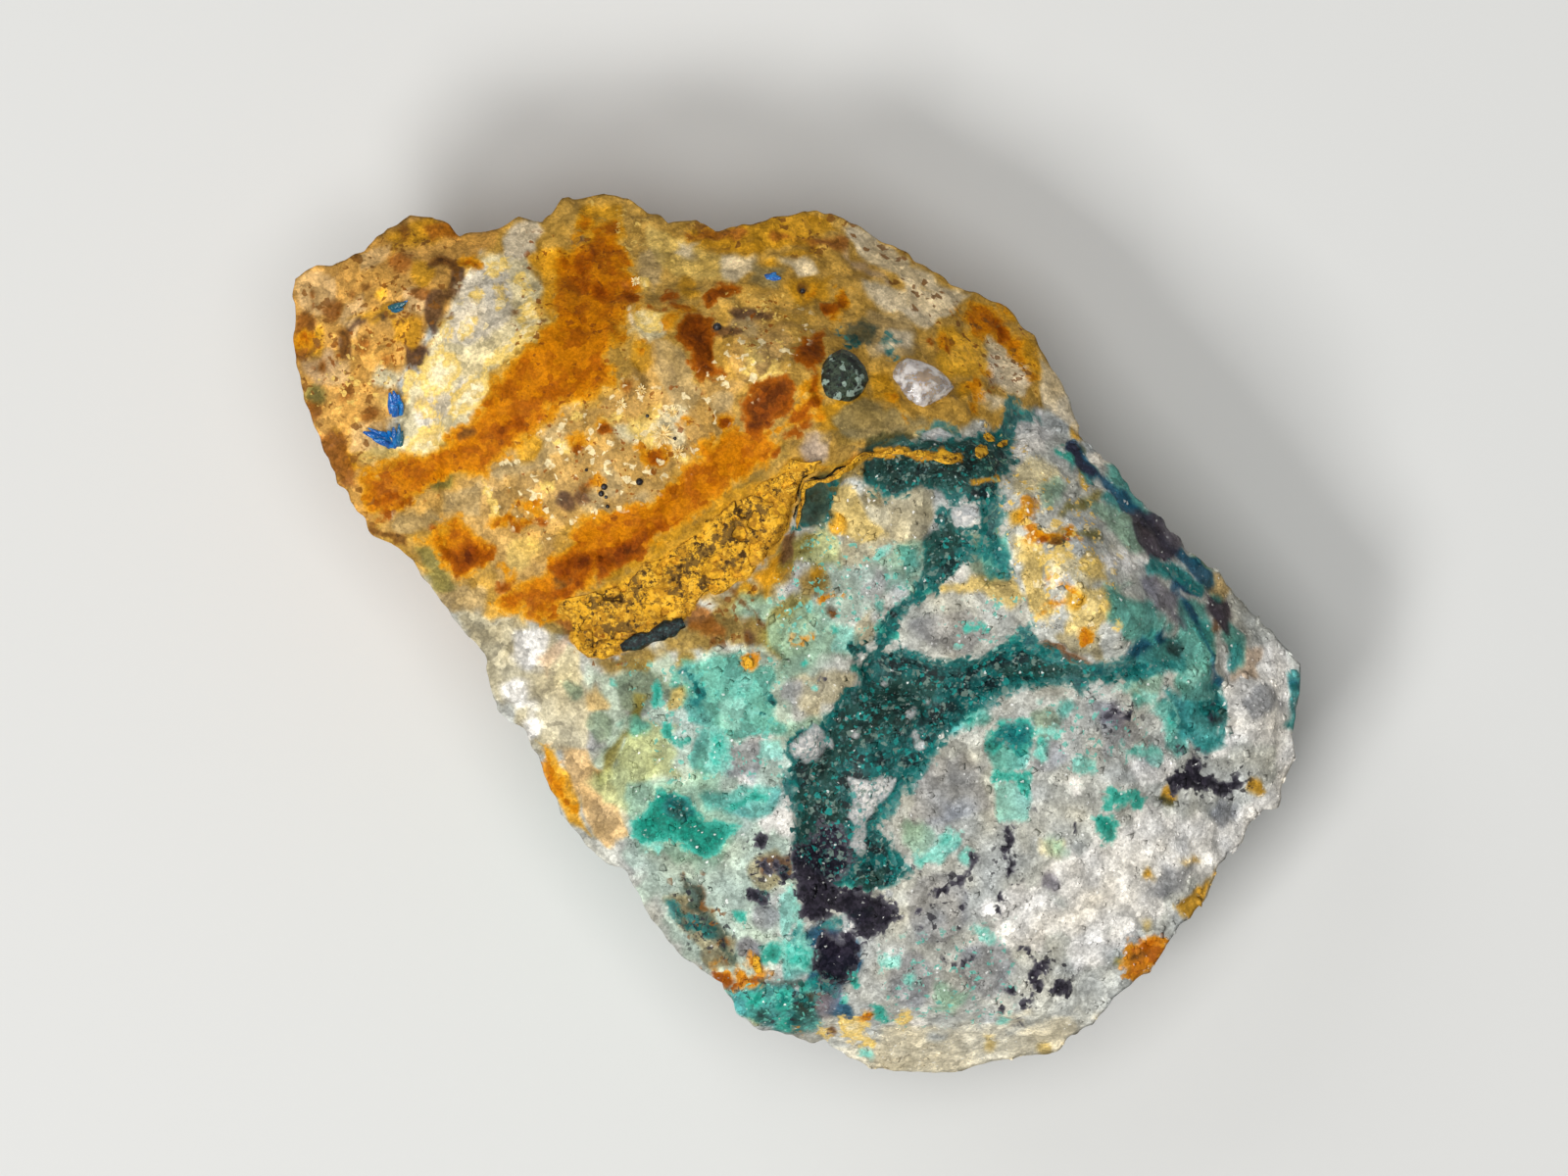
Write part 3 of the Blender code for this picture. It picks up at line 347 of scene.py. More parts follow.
    # (434..458, 296..338) are painted shade, the dark arc of the steep ledge in the upper-left corner.
    "mauve_brown_and_shade": ((0.40, 0.28, 0.19), 6, 0.85, dict(patches=(
        (434, 300, 450, 296, 458, 306, 452, 322, 442, 338, 436, 330), (742, 318, 760, 310, 790, 318, 805,
        325, 780, 328, 750, 325), (725, 335, 760, 338, 740, 345, 728, 343), (415, 362, 435, 362, 432, 378,
        416, 376), (775, 875, 808, 872, 806, 895, 780, 890), (810, 1015, 850, 1010, 845, 1030, 815, 1035),
        (800, 545, 812, 540, 808, 570, 798, 570),
    ), strokes=(
        ((438, 268, 450, 263, 461, 268, 467, 284, 462, 298, 452, 306), 5), ((352, 360, 356, 340, 366, 329,
        392, 325), 3.5), ((412, 340, 418, 356, 430, 360), 4),
    ), spots=(
        (728, 655, 5), (765, 650, 6), (848, 624, 5), (596, 505, 9), (578, 512, 9), (1068, 665, 9), (352, 350,
        7), (590, 245, 6), (395, 512, 9), (1240, 640, 7),
    ))),
    "bright_yellow": ((0.95, 0.67, 0.15), 7, 0.85, dict(patches=(
        (540, 262, 552, 254, 570, 260, 568, 296, 562, 326, 551, 312, 553, 290), (474, 262, 492, 258, 494,
        272, 476, 278), (404, 326, 430, 324, 436, 346, 420, 356, 406, 348), (548, 756, 566, 762, 584, 806,
        604, 852, 586, 846, 560, 800),
    ))),
    "plum": ((0.25, 0.22, 0.27), 6, 0.85, dict(patches=(
        (1090, 448, 1100, 456, 1120, 486, 1112, 490, 1096, 470), (1140, 512, 1150, 520, 1168, 524, 1184, 532,
        1206, 556, 1192, 574, 1176, 572, 1160, 550), (1230, 606, 1258, 616, 1254, 648, 1246, 645, 1236, 625),
        (1192, 652, 1205, 656, 1204, 668, 1192, 666), (1226, 722, 1248, 712, 1248, 738, 1232, 738), (842,
        950, 868, 945, 866, 975, 846, 975),
    ))),
    "plum_veil": ((0.46, 0.44, 0.47), 8, 0.75, dict(patches=(
        (1162, 592, 1176, 590, 1200, 606, 1208, 640, 1196, 636, 1180, 615), (1180, 520, 1210, 548, 1220, 560,
        1196, 556), (830, 1020, 860, 1005, 850, 1040, 832, 1040),
    ), spots=((762, 968, 12), (862, 965, 12), (1135, 728, 14), (1068, 898, 10)))),
}

# ---- the minerals' places ------------------------------------------------------------------------
CREAM = dict(patches=(
    (430, 376, 446, 356, 462, 362, 470, 380, 460, 398, 444, 404, 430, 398), (411, 386, 420, 376, 430, 382,
    424, 396, 414, 400), (424, 410, 442, 408, 444, 424, 428, 428), (464, 400, 480, 382, 502, 380, 498, 400,
    484, 416, 464, 428, 456, 422), (416, 452, 434, 436, 452, 434, 460, 446, 440, 464, 410, 468), (526, 284,
    536, 278, 542, 300, 546, 318, 562, 328, 544, 348, 522, 360, 506, 376, 494, 372, 516, 348, 534, 336, 529,
    318, 538, 308), (496, 266, 516, 262, 522, 274, 508, 284, 496, 278), (474, 330, 486, 326, 484, 344, 470,
    348), (448, 338, 458, 326, 464, 338, 454, 352), (505, 296, 516, 292, 518, 308, 508, 312), (640, 436, 652,
    430, 656, 438, 668, 450, 682, 452, 690, 462, 676, 460, 664, 456, 652, 450), (642, 285, 650, 281, 658,
    287, 656, 296, 647, 293), (646, 322, 658, 316, 676, 322, 668, 340, 654, 336), (568, 452, 580, 450, 582,
    462, 570, 462), (492, 488, 500, 498, 512, 530, 504, 530, 496, 510), (858, 1040, 880, 1032, 886, 1048,
    876, 1062, 860, 1056), (880, 1060, 892, 1058, 892, 1070, 880, 1072), (838, 1046, 850, 1052, 846, 1060,
    836, 1056),
), strokes=(
    ((620, 430, 634, 424), 4), ((780, 388, 800, 380), 4), ((1062, 572, 1090, 566), 5), ((1102, 580, 1118,
    572), 4), ((690, 465, 700, 470), 4),
), spots=(
    (592, 425, 4), (560, 496, 4), (740, 452, 4), (765, 376, 5), (790, 375, 5), (921, 1040, 7), (486, 300, 5),
    (690, 508, 4), (1125, 620, 4), (1140, 640, 4),
))
BROWN_AND_SHADE = dict(patches=(
    (402, 546, 414, 548, 416, 558, 404, 556), (466, 446, 478, 439, 484, 444, 470, 452), (706, 906, 716, 904,
    724, 930, 716, 934), (735, 955, 748, 962, 740, 972, 730, 966), (562, 578, 586, 572, 596, 584, 580, 600,
    566, 594),
), strokes=(
    # The first stroke is painted shade: part of the dark arc of the steep ledge in the upper-left corner.
    ((441, 266, 452, 262, 461, 268, 467, 286), 3), ((352, 340, 356, 350, 351, 360), 3), ((383, 540, 404,
    548), 3), ((1066, 660, 1088, 668, 1104, 674, 1122, 684), 6), ((740, 600, 766, 624, 782, 640), 2), ((700,
    905, 696, 895), 3), ((1155, 976, 1174, 972), 3),
), spots=(
    (818, 297, 5), (728, 655, 4), (762, 650, 4), (848, 624, 4), (1076, 552, 6), (849, 1053, 4), (596, 500,
    4), (576, 588, 8), (371, 292, 4), (573, 599, 5), (525, 320, 4), (553, 328, 4),
))
IRON = dict(patches=(
    (568, 264, 588, 248, 600, 240, 618, 226, 632, 224, 640, 258, 652, 290, 655, 304, 649, 318, 632, 330, 640,
    345, 626, 356, 628, 373, 622, 395, 600, 408, 588, 412, 566, 424, 540, 446, 520, 466, 504, 472, 499, 489,
    467, 486, 440, 499, 414, 513, 392, 526, 378, 526, 368, 508, 366, 480, 408, 470, 430, 462, 454, 454, 462,
    438, 484, 420, 500, 400, 504, 386, 534, 358, 561, 332, 568, 300, 562, 280), (672, 500, 690, 486, 704,
    470, 711, 452, 736, 444, 754, 438, 792, 436, 812, 418, 826, 389, 838, 372, 840, 410, 820, 432, 798, 448,
    790, 462, 778, 478, 752, 490, 735, 508, 712, 526, 684, 546, 640, 566, 600, 600, 575, 622, 554, 631, 517,
    627, 502, 614, 520, 600, 552, 590, 560, 570, 580, 560, 588, 535, 600, 524, 620, 522, 640, 515, 660, 512),
    (842, 318, 852, 302, 868, 293, 873, 300, 862, 320, 850, 334), (975, 318, 990, 308, 1021, 310, 1040, 340,
    1055, 378, 1058, 392, 1045, 379, 1033, 359, 1021, 352, 1010, 345, 990, 345), (985, 385, 1003, 380, 1004,
    400, 998, 420, 986, 405), (668, 341, 680, 322, 694, 311, 712, 309, 700, 322), (425, 548, 440, 540, 470,
    532, 482, 538, 498, 552, 504, 566, 500, 576, 486, 584, 471, 593, 459, 586, 451, 566, 436, 556), (549,
    763, 562, 764, 572, 800, 586, 826, 572, 818, 558, 792), (1145, 966, 1179, 954, 1194, 962, 1192, 971,
    1174, 992, 1159, 1001, 1149, 998, 1144, 981), (1043, 512, 1056, 513, 1055, 543, 1046, 545, 1044, 530),
    (748, 985, 762, 990, 760, 1005, 745, 1012),
), strokes=(
    ((506, 533, 522, 528, 529, 536, 546, 528, 556, 531), 4), ((506, 577, 514, 580, 521, 590), 4), ((725, 990,
    740, 1000), 5), ((1072, 590, 1090, 600, 1084, 612, 1064, 628), 3), ((770, 975, 775, 995, 766, 1004), 4),
    ((312, 345, 306, 350), 7), ((1104, 645, 1108, 655), 4), ((1050, 548, 1066, 546, 1092, 544), 3), ((835,
    395, 838, 425), 5), ((905, 405, 925, 428), 3), ((960, 345, 975, 355), 3), ((843, 609, 850, 605), 4),
    ((817, 650, 824, 652), 4), ((652, 350, 652, 356), 5),
), spots=(
    (536, 516, 10), (739, 431, 8), (619, 434, 7), (591, 452, 9), (671, 466, 12), (700, 431, 5), (653, 456,
    4), (606, 492, 6), (1108, 652, 5), (595, 230, 8), (650, 517, 6), (481, 268, 8), (766, 676, 7), (883,
    1034, 4), (812, 1052, 3), (770, 984, 6), (830, 297, 4),
))
RUST = dict(patches=(
    (716, 301, 732, 288, 755, 294, 742, 304, 724, 311), (675, 300, 686, 295, 693, 300, 682, 309, 676, 306),
    (690, 340, 700, 318, 715, 318, 727, 325, 732, 345, 730, 365, 738, 375, 741, 385, 728, 391, 712, 387, 705,
    372, 698, 355), (806, 362, 820, 345, 840, 340, 843, 360, 838, 374, 828, 378, 815, 372), (754, 412, 766,
    396, 801, 384, 812, 400, 806, 420, 785, 438, 764, 432), (756, 430, 775, 424, 784, 430, 776, 442, 762,
    442), (590, 584, 560, 578, 566, 572, 585, 568, 600, 560, 640, 552, 640, 562, 612, 572, 600, 590, 590,
    604, 572, 602), (602, 562, 650, 546, 664, 556, 640, 578, 608, 590), (566, 606, 584, 592, 600, 590, 580,
    612), (452, 562, 478, 555, 500, 562, 500, 572, 484, 582, 470, 590, 460, 582), (584, 262, 602, 262, 603,
    285, 596, 300, 588, 286), (652, 545, 680, 532, 676, 545, 655, 556), (790, 462, 808, 440, 830, 424, 826,
    434, 808, 452), (1166, 962, 1180, 952, 1188, 958, 1172, 970), (724, 990, 735, 992, 750, 1000, 745, 1008,
    732, 1002),
), strokes=(
    ((516, 598, 526, 594), 4), ((640, 556, 690, 530), 3), ((522, 530, 528, 541, 540, 530, 556, 534), 3),
    ((832, 374, 832, 396), 4), ((386, 512, 404, 504), 3), ((404, 520, 416, 508), 2.5), ((384, 534, 398, 522),
    2.5), ((606, 255, 600, 275), 3), ((440, 540, 448, 548), 2.5), ((512, 440, 534, 432), 7), ((640, 300, 650,
    306), 6), ((655, 316, 700, 312), 2), ((1018, 325, 1024, 345), 5), ((990, 325, 1000, 335), 4), ((812, 430,
    836, 408), 5),
), spots=(
    (574, 586, 10), (591, 460, 6), (671, 470, 8), (619, 438, 4), (740, 431, 5), (603, 496, 5), (1062, 550,
    4), (1090, 546, 4), (950, 350, 4), (966, 355, 4), (845, 315, 6), (610, 300, 8),
))
TURQUOISE = dict(patches=(
    (975, 722, 998, 712, 1001, 722, 996, 740, 978, 742), (703, 690, 712, 688, 722, 700, 712, 706), (760, 724,
    776, 722, 780, 732, 764, 736), (1113, 832, 1132, 835, 1134, 846, 1120, 848), (720, 742, 738, 744, 746,
    760, 738, 790, 722, 786), (762, 805, 778, 800, 786, 810, 784, 820, 766, 815), (750, 690, 762, 688, 766,
    700, 752, 704), (1186, 725, 1200, 722, 1206, 745, 1192, 755), (935, 722, 950, 720, 948, 735, 936, 735),
    (795, 960, 820, 955, 838, 975, 830, 992, 800, 985),
), strokes=(
    ((940, 880, 960, 866, 976, 852), 5), ((895, 570, 905, 560), 3), ((1055, 744, 1076, 747), 4), ((1150, 765,
    1180, 768), 5), ((965, 730, 945, 748), 5), ((655, 860, 672, 864), 4), ((885, 930, 868, 938), 4), ((808,
    910, 814, 940, 806, 965), 3),
), spots=(
    (985, 874, 6), (999, 951, 4), (1012, 959, 4), (930, 1000, 6), (901, 980, 4), (1025, 1041, 5), (884, 1078,
    6), (895, 618, 4), (826, 617, 4), (1210, 690, 6), (830, 700, 4), (1062, 770, 6), (1150, 700, 5),
))
MALACHITE = dict(patches=(
    (645, 836, 655, 825, 668, 815, 675, 807, 690, 807, 702, 818, 712, 830, 730, 835, 745, 838, 757, 845, 742,
    856, 736, 866, 725, 874, 710, 874, 698, 866, 685, 858, 670, 861, 655, 861, 644, 850), (740, 826, 758,
    815, 770, 806, 784, 806, 784, 815, 768, 819, 755, 827), (747, 928, 764, 925, 760, 938, 756, 946, 750,
    938), (1004, 753, 1012, 746, 1021, 736, 1048, 736, 1056, 745, 1052, 762, 1040, 768, 1024, 762, 1016, 771,
    1006, 766), (1013, 786, 1054, 786, 1052, 800, 1050, 815, 1044, 806, 1038, 798, 1024, 797, 1014, 800),
    (1122, 812, 1140, 806, 1160, 806, 1170, 812, 1166, 826, 1157, 828, 1152, 818, 1138, 822, 1124, 826),
    (774, 970, 784, 964, 797, 966, 794, 980, 782, 986), (754, 1014, 776, 1010, 784, 1022, 764, 1030), (788,
    1012, 806, 1010, 812, 1026, 800, 1036, 790, 1030), (790, 1040, 806, 1038, 808, 1048, 794, 1050), (1112,
    832, 1136, 828, 1140, 850, 1134, 866, 1122, 862, 1120, 848), (940, 560, 975, 545, 985, 560, 970, 580,
    945, 582),
), strokes=(
    ((681, 738, 684, 750, 692, 754), 4), ((868, 990, 872, 1000), 5), ((893, 1028, 902, 1038), 6), ((845,
    1000, 820, 1010), 5), ((900, 640, 912, 650), 4), ((988, 640, 1002, 640), 4), ((672, 700, 670, 715), 4),
    ((1080, 458, 1092, 468), 3), ((873, 680, 885, 690), 5), ((690, 760, 700, 756), 3), ((912, 700, 925, 712),
    6), ((900, 740, 890, 775), 5), ((830, 770, 840, 790), 4), ((848, 900, 885, 905), 3), ((925, 610, 945,
    602), 4), ((1040, 655, 1024, 660), 4),
), spots=(
    (852, 643, 5), (820, 678, 4), (626, 697, 4), (862, 1020, 4), (1064, 755, 4), (716, 700, 4), (935, 690,
    6), (980, 700, 5), (862, 740, 5),
))
TEAL = dict(patches=(
    (937, 441, 958, 427, 974, 434, 984, 444, 975, 447, 960, 436, 946, 444), (1014, 440, 1022, 420, 1029, 402,
    1040, 408, 1050, 418, 1068, 435, 1052, 428, 1042, 432, 1036, 448, 1030, 460, 1018, 452), (1000, 500,
    1022, 498, 1022, 537, 1032, 587, 1018, 590, 1006, 572, 992, 572, 1000, 545), (1032, 649, 1050, 632, 1056,
    648, 1062, 660, 1088, 671, 1125, 676, 1153, 670, 1176, 676, 1209, 676, 1173, 688, 1147, 698, 1122, 697,
    1100, 709, 1083, 700, 1050, 704, 1030, 710, 1010, 720, 996, 722, 970, 722, 960, 700, 1000, 674), (858,
    876, 880, 866, 908, 864, 926, 888, 908, 906, 892, 904, 866, 896), (838, 990, 860, 998, 850, 1014, 830,
    1012, 820, 1004), (676, 812, 698, 814, 704, 834, 690, 842, 674, 830), (1008, 756, 1020, 740, 1046, 738,
    1052, 758, 1040, 766, 1022, 762),
), strokes=(
    ((684, 926, 694, 938), 6), ((706, 938, 722, 952), 6), ((905, 345, 912, 349), 3.5), ((906, 360, 910, 364),
    3), ((1236, 700, 1246, 726, 1248, 753, 1226, 764), 4), ((1190, 716, 1206, 738, 1228, 757), 3), ((1176,
    576, 1198, 584, 1222, 600), 6), ((860, 716, 836, 740, 806, 756), 3), ((804, 790, 818, 840), 4), ((700,
    690, 716, 706, 712, 720), 5), ((948, 762, 905, 822), 9), ((816, 945, 808, 960), 3), ((842, 947, 856, 938,
    866, 946), 4),
), spots=((1323, 702, 4), (1319, 740, 4), (1040, 750, 11), (905, 892, 8)))
VEIN = dict(patches=(
    (881, 470, 912, 453, 945, 446, 975, 447, 1000, 446, 1016, 442, 1030, 455, 1034, 470, 1030, 482, 1020,
    490, 1022, 505, 1012, 515, 1000, 512, 985, 511, 970, 514, 954, 498, 937, 500, 914, 509, 898, 505, 882,
    492), (959, 509, 972, 520, 978, 545, 998, 552, 996, 562, 976, 580, 959, 597, 940, 612, 922, 630, 914,
    646, 906, 663, 892, 664, 900, 641, 923, 610, 940, 590, 942, 560, 955, 545), (892, 663, 918, 658, 935,
    662, 971, 677, 1000, 670, 1018, 660, 1040, 655, 1056, 668, 1100, 684, 1060, 698, 1030, 704, 1008, 715,
    985, 730, 959, 756, 948, 773, 931, 795, 907, 821, 900, 838, 910, 866, 927, 890, 907, 907, 880, 905, 850,
    902, 827, 890, 812, 875, 805, 863, 814, 831, 811, 805, 802, 773, 800, 756, 816, 747, 836, 739, 858, 716,
    872, 697, 878, 677),
), strokes=(
    ((847, 488, 850, 500, 844, 532), 2), ((812, 539, 842, 537), 3), ((1105, 690, 1130, 692, 1160, 686), 3),
    ((972, 518, 970, 540, 985, 545, 1002, 540, 1004, 515), 4), ((712, 700, 722, 712), 4), ((870, 660, 882,
    664), 4), ((1066, 662, 1076, 672), 4), ((860, 340, 872, 352), 4), ((776, 724, 786, 716), 3), ((815, 1018,
    830, 1030), 4), ((1230, 722, 1244, 728), 5),
), spots=(
    (990, 560, 5), (796, 888, 5), (776, 915, 5), (720, 950, 6), (705, 948, 5), (810, 1042, 6), (795, 1020,
    5),
))
BLACK_GREEN = dict(patches=(
    (874, 458, 905, 450, 945, 446, 1000, 450, 1018, 462, 1010, 490, 985, 505, 960, 498, 912, 502, 884, 486),
    (818, 760, 846, 745, 880, 700, 930, 690, 960, 700, 930, 740, 890, 755, 862, 775, 850, 800, 830, 800),
    (944, 545, 972, 530, 980, 552, 960, 575, 940, 590), (815, 810, 850, 800, 864, 840, 850, 860, 815, 860),
    (766, 1000, 800, 998, 826, 1004, 812, 1012, 780, 1010), (808, 1024, 830, 1020, 830, 1044, 812, 1046),
    (770, 1034, 784, 1030, 790, 1044, 778, 1046), (872, 890, 905, 884, 900, 906, 872, 906), (820, 492, 846,
    488, 846, 512, 842, 536, 816, 538), (1000, 684, 1060, 672, 1112, 680, 1112, 692, 1060, 692), (700, 905,
    712, 902, 722, 930, 736, 955, 726, 962, 708, 930), (862, 338, 880, 326, 898, 334, 892, 346, 876, 354,
    864, 350),
), strokes=(
    ((698, 902, 708, 918, 716, 930), 6), ((722, 940, 736, 956), 6), ((692, 934, 700, 944), 5), ((738, 966,
    746, 978), 5),
), spots=((1200, 660, 9), (1245, 735, 8), (1010, 762, 5), (690, 828, 9), (880, 935, 7)))
WINDOW = dict(patches=(
    (862, 793, 919, 793, 908, 812, 898, 821, 884, 840, 882, 864, 876, 872, 868, 860, 874, 842, 866, 834, 872,
    818), (805, 761, 822, 747, 835, 739, 843, 752, 840, 769, 829, 777, 810, 775), (940, 440, 962, 438, 972,
    446, 960, 452, 944, 450), (1038, 424, 1052, 430, 1052, 440, 1038, 444), (860, 935, 876, 938, 872, 958,
    858, 955), (973, 516, 999, 515, 1000, 528, 985, 538, 974, 530),
), strokes=(((832, 742, 846, 760), 3),), spots=(
    (871, 752, 5), (930, 730, 5), (903, 698, 3), (938, 762, 5), (933, 750, 4), (908, 912, 5), (946, 716, 3),
))
MANGANESE = dict(patches=(
    (806, 866, 820, 858, 838, 838, 862, 846, 872, 870, 862, 892, 846, 900, 856, 908, 880, 906, 895, 914, 915,
    921, 916, 940, 902, 948, 892, 960, 878, 958, 870, 948, 862, 934, 848, 931, 842, 942, 826, 942, 814, 930,
    812, 900, 806, 886), (838, 948, 858, 955, 878, 948, 880, 975, 868, 1000, 850, 1008, 836, 1000, 828, 985),
    (1193, 797, 1203, 788, 1212, 786, 1216, 774, 1223, 778, 1229, 792, 1249, 797, 1264, 790, 1272, 800, 1264,
    810, 1246, 816, 1232, 808, 1214, 802, 1204, 810, 1196, 811), (953, 908, 966, 904, 972, 912, 962, 916,
    954, 916), (1048, 1000, 1054, 985, 1066, 980, 1062, 1000, 1058, 1014, 1050, 1010), (960, 978, 970, 984,
    978, 988, 990, 976, 992, 984, 984, 992, 970, 990), (1078, 1000, 1094, 998, 1088, 1012, 1080, 1022, 1072,
    1010), (840, 690, 846, 692, 842, 696),
), strokes=(
    ((1026, 843, 1030, 858, 1022, 872, 1030, 880, 1034, 892), 3.5), ((972, 904, 990, 890, 994, 874), 2.5),
    ((1018, 912, 1017, 932), 2.5), ((1050, 1018, 1046, 1028), 2.5), ((1036, 1043, 1040, 1045), 2.5), ((1148,
    728, 1156, 736), 3), ((1128, 732, 1140, 726), 2.5), ((1204, 765, 1218, 768, 1228, 766), 2), ((940, 890,
    934, 884), 2), ((1054, 826, 1058, 830), 2.5), ((770, 864, 778, 852), 5), ((768, 888, 780, 882, 786, 890),
    5), ((792, 880, 800, 896), 6), ((768, 910, 780, 918), 6),
), spots=(
    (949, 912, 3), (1049, 970, 3.5), (1041, 969, 2.5), (937, 928, 3), (981, 925, 3), (1020, 1028, 3), (937,
    948, 3), (1094, 842, 3), (1030, 1007, 3),
))
OCHRE = dict(patches=(
    (567, 627, 583, 635, 583, 654, 602, 672, 636, 668, 699, 634, 715, 608, 755, 595, 791, 561, 806, 537, 816,
    502, 824, 484, 851, 475, 806, 467, 772, 500, 730, 526, 680, 562, 656, 570, 646, 584, 607, 600),
), strokes=(
    ((852, 477, 875, 470, 895, 462, 912, 460, 946, 465, 963, 462, 981, 468), 4), ((996, 492, 1018, 489), 3),
), spots=((765, 676, 5),))
CREAM_FLECKS = dict(patches=(
    (500, 480, 560, 430, 640, 390, 700, 400, 760, 330, 820, 310, 830, 340, 790, 385, 730, 440, 700, 480, 640,
    520, 560, 550, 500, 530), (430, 400, 450, 350, 470, 290, 500, 262, 535, 264, 545, 320, 520, 360, 470,
    430, 430, 450), (1050, 500, 1150, 560, 1120, 650, 1050, 620),
))
RUST_CRUMBS = dict(patches=(
    (520, 490, 600, 420, 700, 390, 740, 420, 690, 480, 640, 530, 540, 560), (745, 310, 800, 300, 830, 330,
    800, 370, 750, 350), (600, 640, 680, 640, 640, 680, 590, 670), (320, 300, 420, 260, 440, 350, 380, 420,
    320, 380), (540, 240, 640, 230, 640, 400, 500, 470), (370, 470, 480, 460, 460, 500, 380, 530), (940, 320,
    1050, 310, 1060, 400, 980, 400),
))
BLACK_SPECKS = dict(patches=(
    (955, 900, 1000, 870, 1005, 890, 970, 925, 985, 960, 940, 960), (770, 870, 812, 860, 810, 925, 775, 925),
    (1040, 960, 1075, 970, 1100, 990, 1080, 1030, 1035, 1030), (690, 890, 745, 930, 750, 975, 700, 970),
    (1118, 715, 1165, 712, 1165, 750, 1120, 750), (1015, 840, 1040, 850, 1040, 900, 1010, 940), (1185, 765,
    1275, 780, 1280, 815, 1195, 820), (745, 1004, 790, 1000, 840, 1010, 836, 1050, 790, 1048), (685, 895,
    720, 890, 750, 950, 740, 980, 700, 960),
))
TURQUOISE_SPECKS = dict(patches=(
    (840, 540, 940, 570, 900, 650, 800, 640, 780, 600), (900, 960, 1040, 940, 1030, 1040, 900, 1050), (740,
    1000, 790, 1000, 840, 1010, 836, 1050, 790, 1050), (640, 680, 800, 660, 800, 790, 680, 800), (1060, 720,
    1130, 700, 1180, 760, 1090, 800), (960, 620, 1050, 600, 1050, 660, 970, 660),
))
BROWN_CRUMBS = dict(patches=(
    (300, 284, 400, 228, 470, 240, 470, 300, 440, 360, 400, 400, 380, 540, 310, 400), (700, 225, 850, 215,
    950, 275, 1050, 350, 1060, 400, 960, 340, 860, 260, 760, 262), (560, 600, 600, 605, 650, 650, 600, 690),
    (685, 895, 720, 890, 750, 950, 740, 980, 700, 960), (700, 600, 770, 590, 780, 640, 720, 665),
))
YELLOW_CRUMBS = dict(patches=(
    (310, 400, 380, 340, 400, 380, 360, 440), (600, 200, 700, 240, 690, 290, 640, 260), (740, 300, 810, 300,
    820, 340, 760, 390), (1000, 430, 1110, 500, 1140, 600, 1060, 650, 1020, 560),
))
SPARKLING = dict(patches=(
    (640, 700, 790, 620, 850, 480, 1000, 430, 1110, 430, 1340, 640, 1340, 860, 1200, 1100, 800, 1100, 640,
    860),
))
MINERALS = dict(
    cream=CREAM, brown=BROWN_AND_SHADE, iron=IRON, rust=RUST, turquoise=TURQUOISE, malachite=MALACHITE, teal=TEAL,
    vein=VEIN, black_green=BLACK_GREEN, window=WINDOW, manganese=MANGANESE, ochre=OCHRE,
    cream_flecks=CREAM_FLECKS, rust_crumbs=RUST_CRUMBS, black_specks=BLACK_SPECKS,
    turquoise_specks=TURQUOISE_SPECKS, brown_crumbs=BROWN_CRUMBS, yellow_crumbs=YELLOW_CRUMBS,
    sparkling=SPARKLING,
)
# Random fields that shake the tones and the minerals: size on the plan, share, seed
TINT_DRIFTS = ((24, 1, 303), (10, 0.6, 331))
LIGHTNESS_DRIFTS = ((34, 0.035, 361), (14, 0.045, 363))
WARMTH_DRIFTS = ((46, 0.025, 367), (18, 0.02, 369))
MINERAL_SHAKE = (((26, 2.2, 91), (11, 1.4, 93)), ((26, 2.2, 95), (11, 1.4, 97)))  # along x, along y
TONE_GRAIN = (30, 301)  # size on the plan, seed
LIGHTNESS_GRAIN = 0.06
WARMER = (0.7, 0.1, -1.0)  # what warmth adds to red, green and blue
TINT_SOFTNESS = 0.75  # of what the tints' rows give
TINT_SHAKE = 0.90  # how far the tints' edges wander, in times their softness
REACH = 40  # plan steps either side of a mineral's edge over which its attribute changes

# ---- the crust -----------------------------------------------------------------------------------
CRUST_EDGES = (  # near, far
    corners_of(
        566, 630, 583, 637, 583, 655, 602, 672, 616, 677, 632, 669, 640, 662, 699, 634, 715, 608, 736, 605,
        755, 595, 777, 579, 791, 561, 799, 545, 807, 537, 809, 519, 816, 502, 824, 486, 852, 478,
    ),
    corners_of(
        570, 623, 607, 600, 646, 584, 658, 568, 680, 562, 705, 545, 730, 526, 750, 512, 772, 500, 800, 473,
        807, 466, 851, 472,
    ),
)
SEAM_EDGES = (  # near, far
    corners_of(852, 478, 876, 472, 895, 465, 912, 463, 940, 468, 950, 467, 965, 474, 980, 468),
    corners_of(851, 472, 875, 467, 896, 459, 910, 456, 930, 460, 947, 461, 962, 457, 979, 464),
)
OCHRE_BITS = (  # near edge, far edge
    (((1003, 446), (1009, 452), (1016, 448)), ((1004, 442), (1010, 440), (1015, 444))),
    (((1000, 468), (1005, 473), (1010, 466)), ((1000, 460), (1004, 455), (1009, 458))),
    (((1017, 454), (1022, 458), (1028, 456)), ((1018, 450), (1022, 448), (1027, 451))),
    (((760, 679), (765, 684), (771, 678)), ((760, 673), (765, 669), (770, 673))),
    (((764, 984), (770, 994), (776, 990)), ((764, 976), (769, 971), (774, 977))),
)
CRACK = corners_of(
    809, 539, 807, 527, 809, 517, 815, 512, 816, 500, 820, 490, 830, 485, 843, 484, 852, 476, 866, 472,
)
CRACK_WIDTH = 3.4  # plan steps
CRACK_REACH = 1.9  # plan steps to either side over which the crust sinks into the crack
CRUST_RIM = corners_of(814, 540, 814, 522, 818, 508, 821, 495, 834, 489, 848, 485, 860, 479, 872, 473)
CRUST_RIM_WIDTH = 7  # plan steps
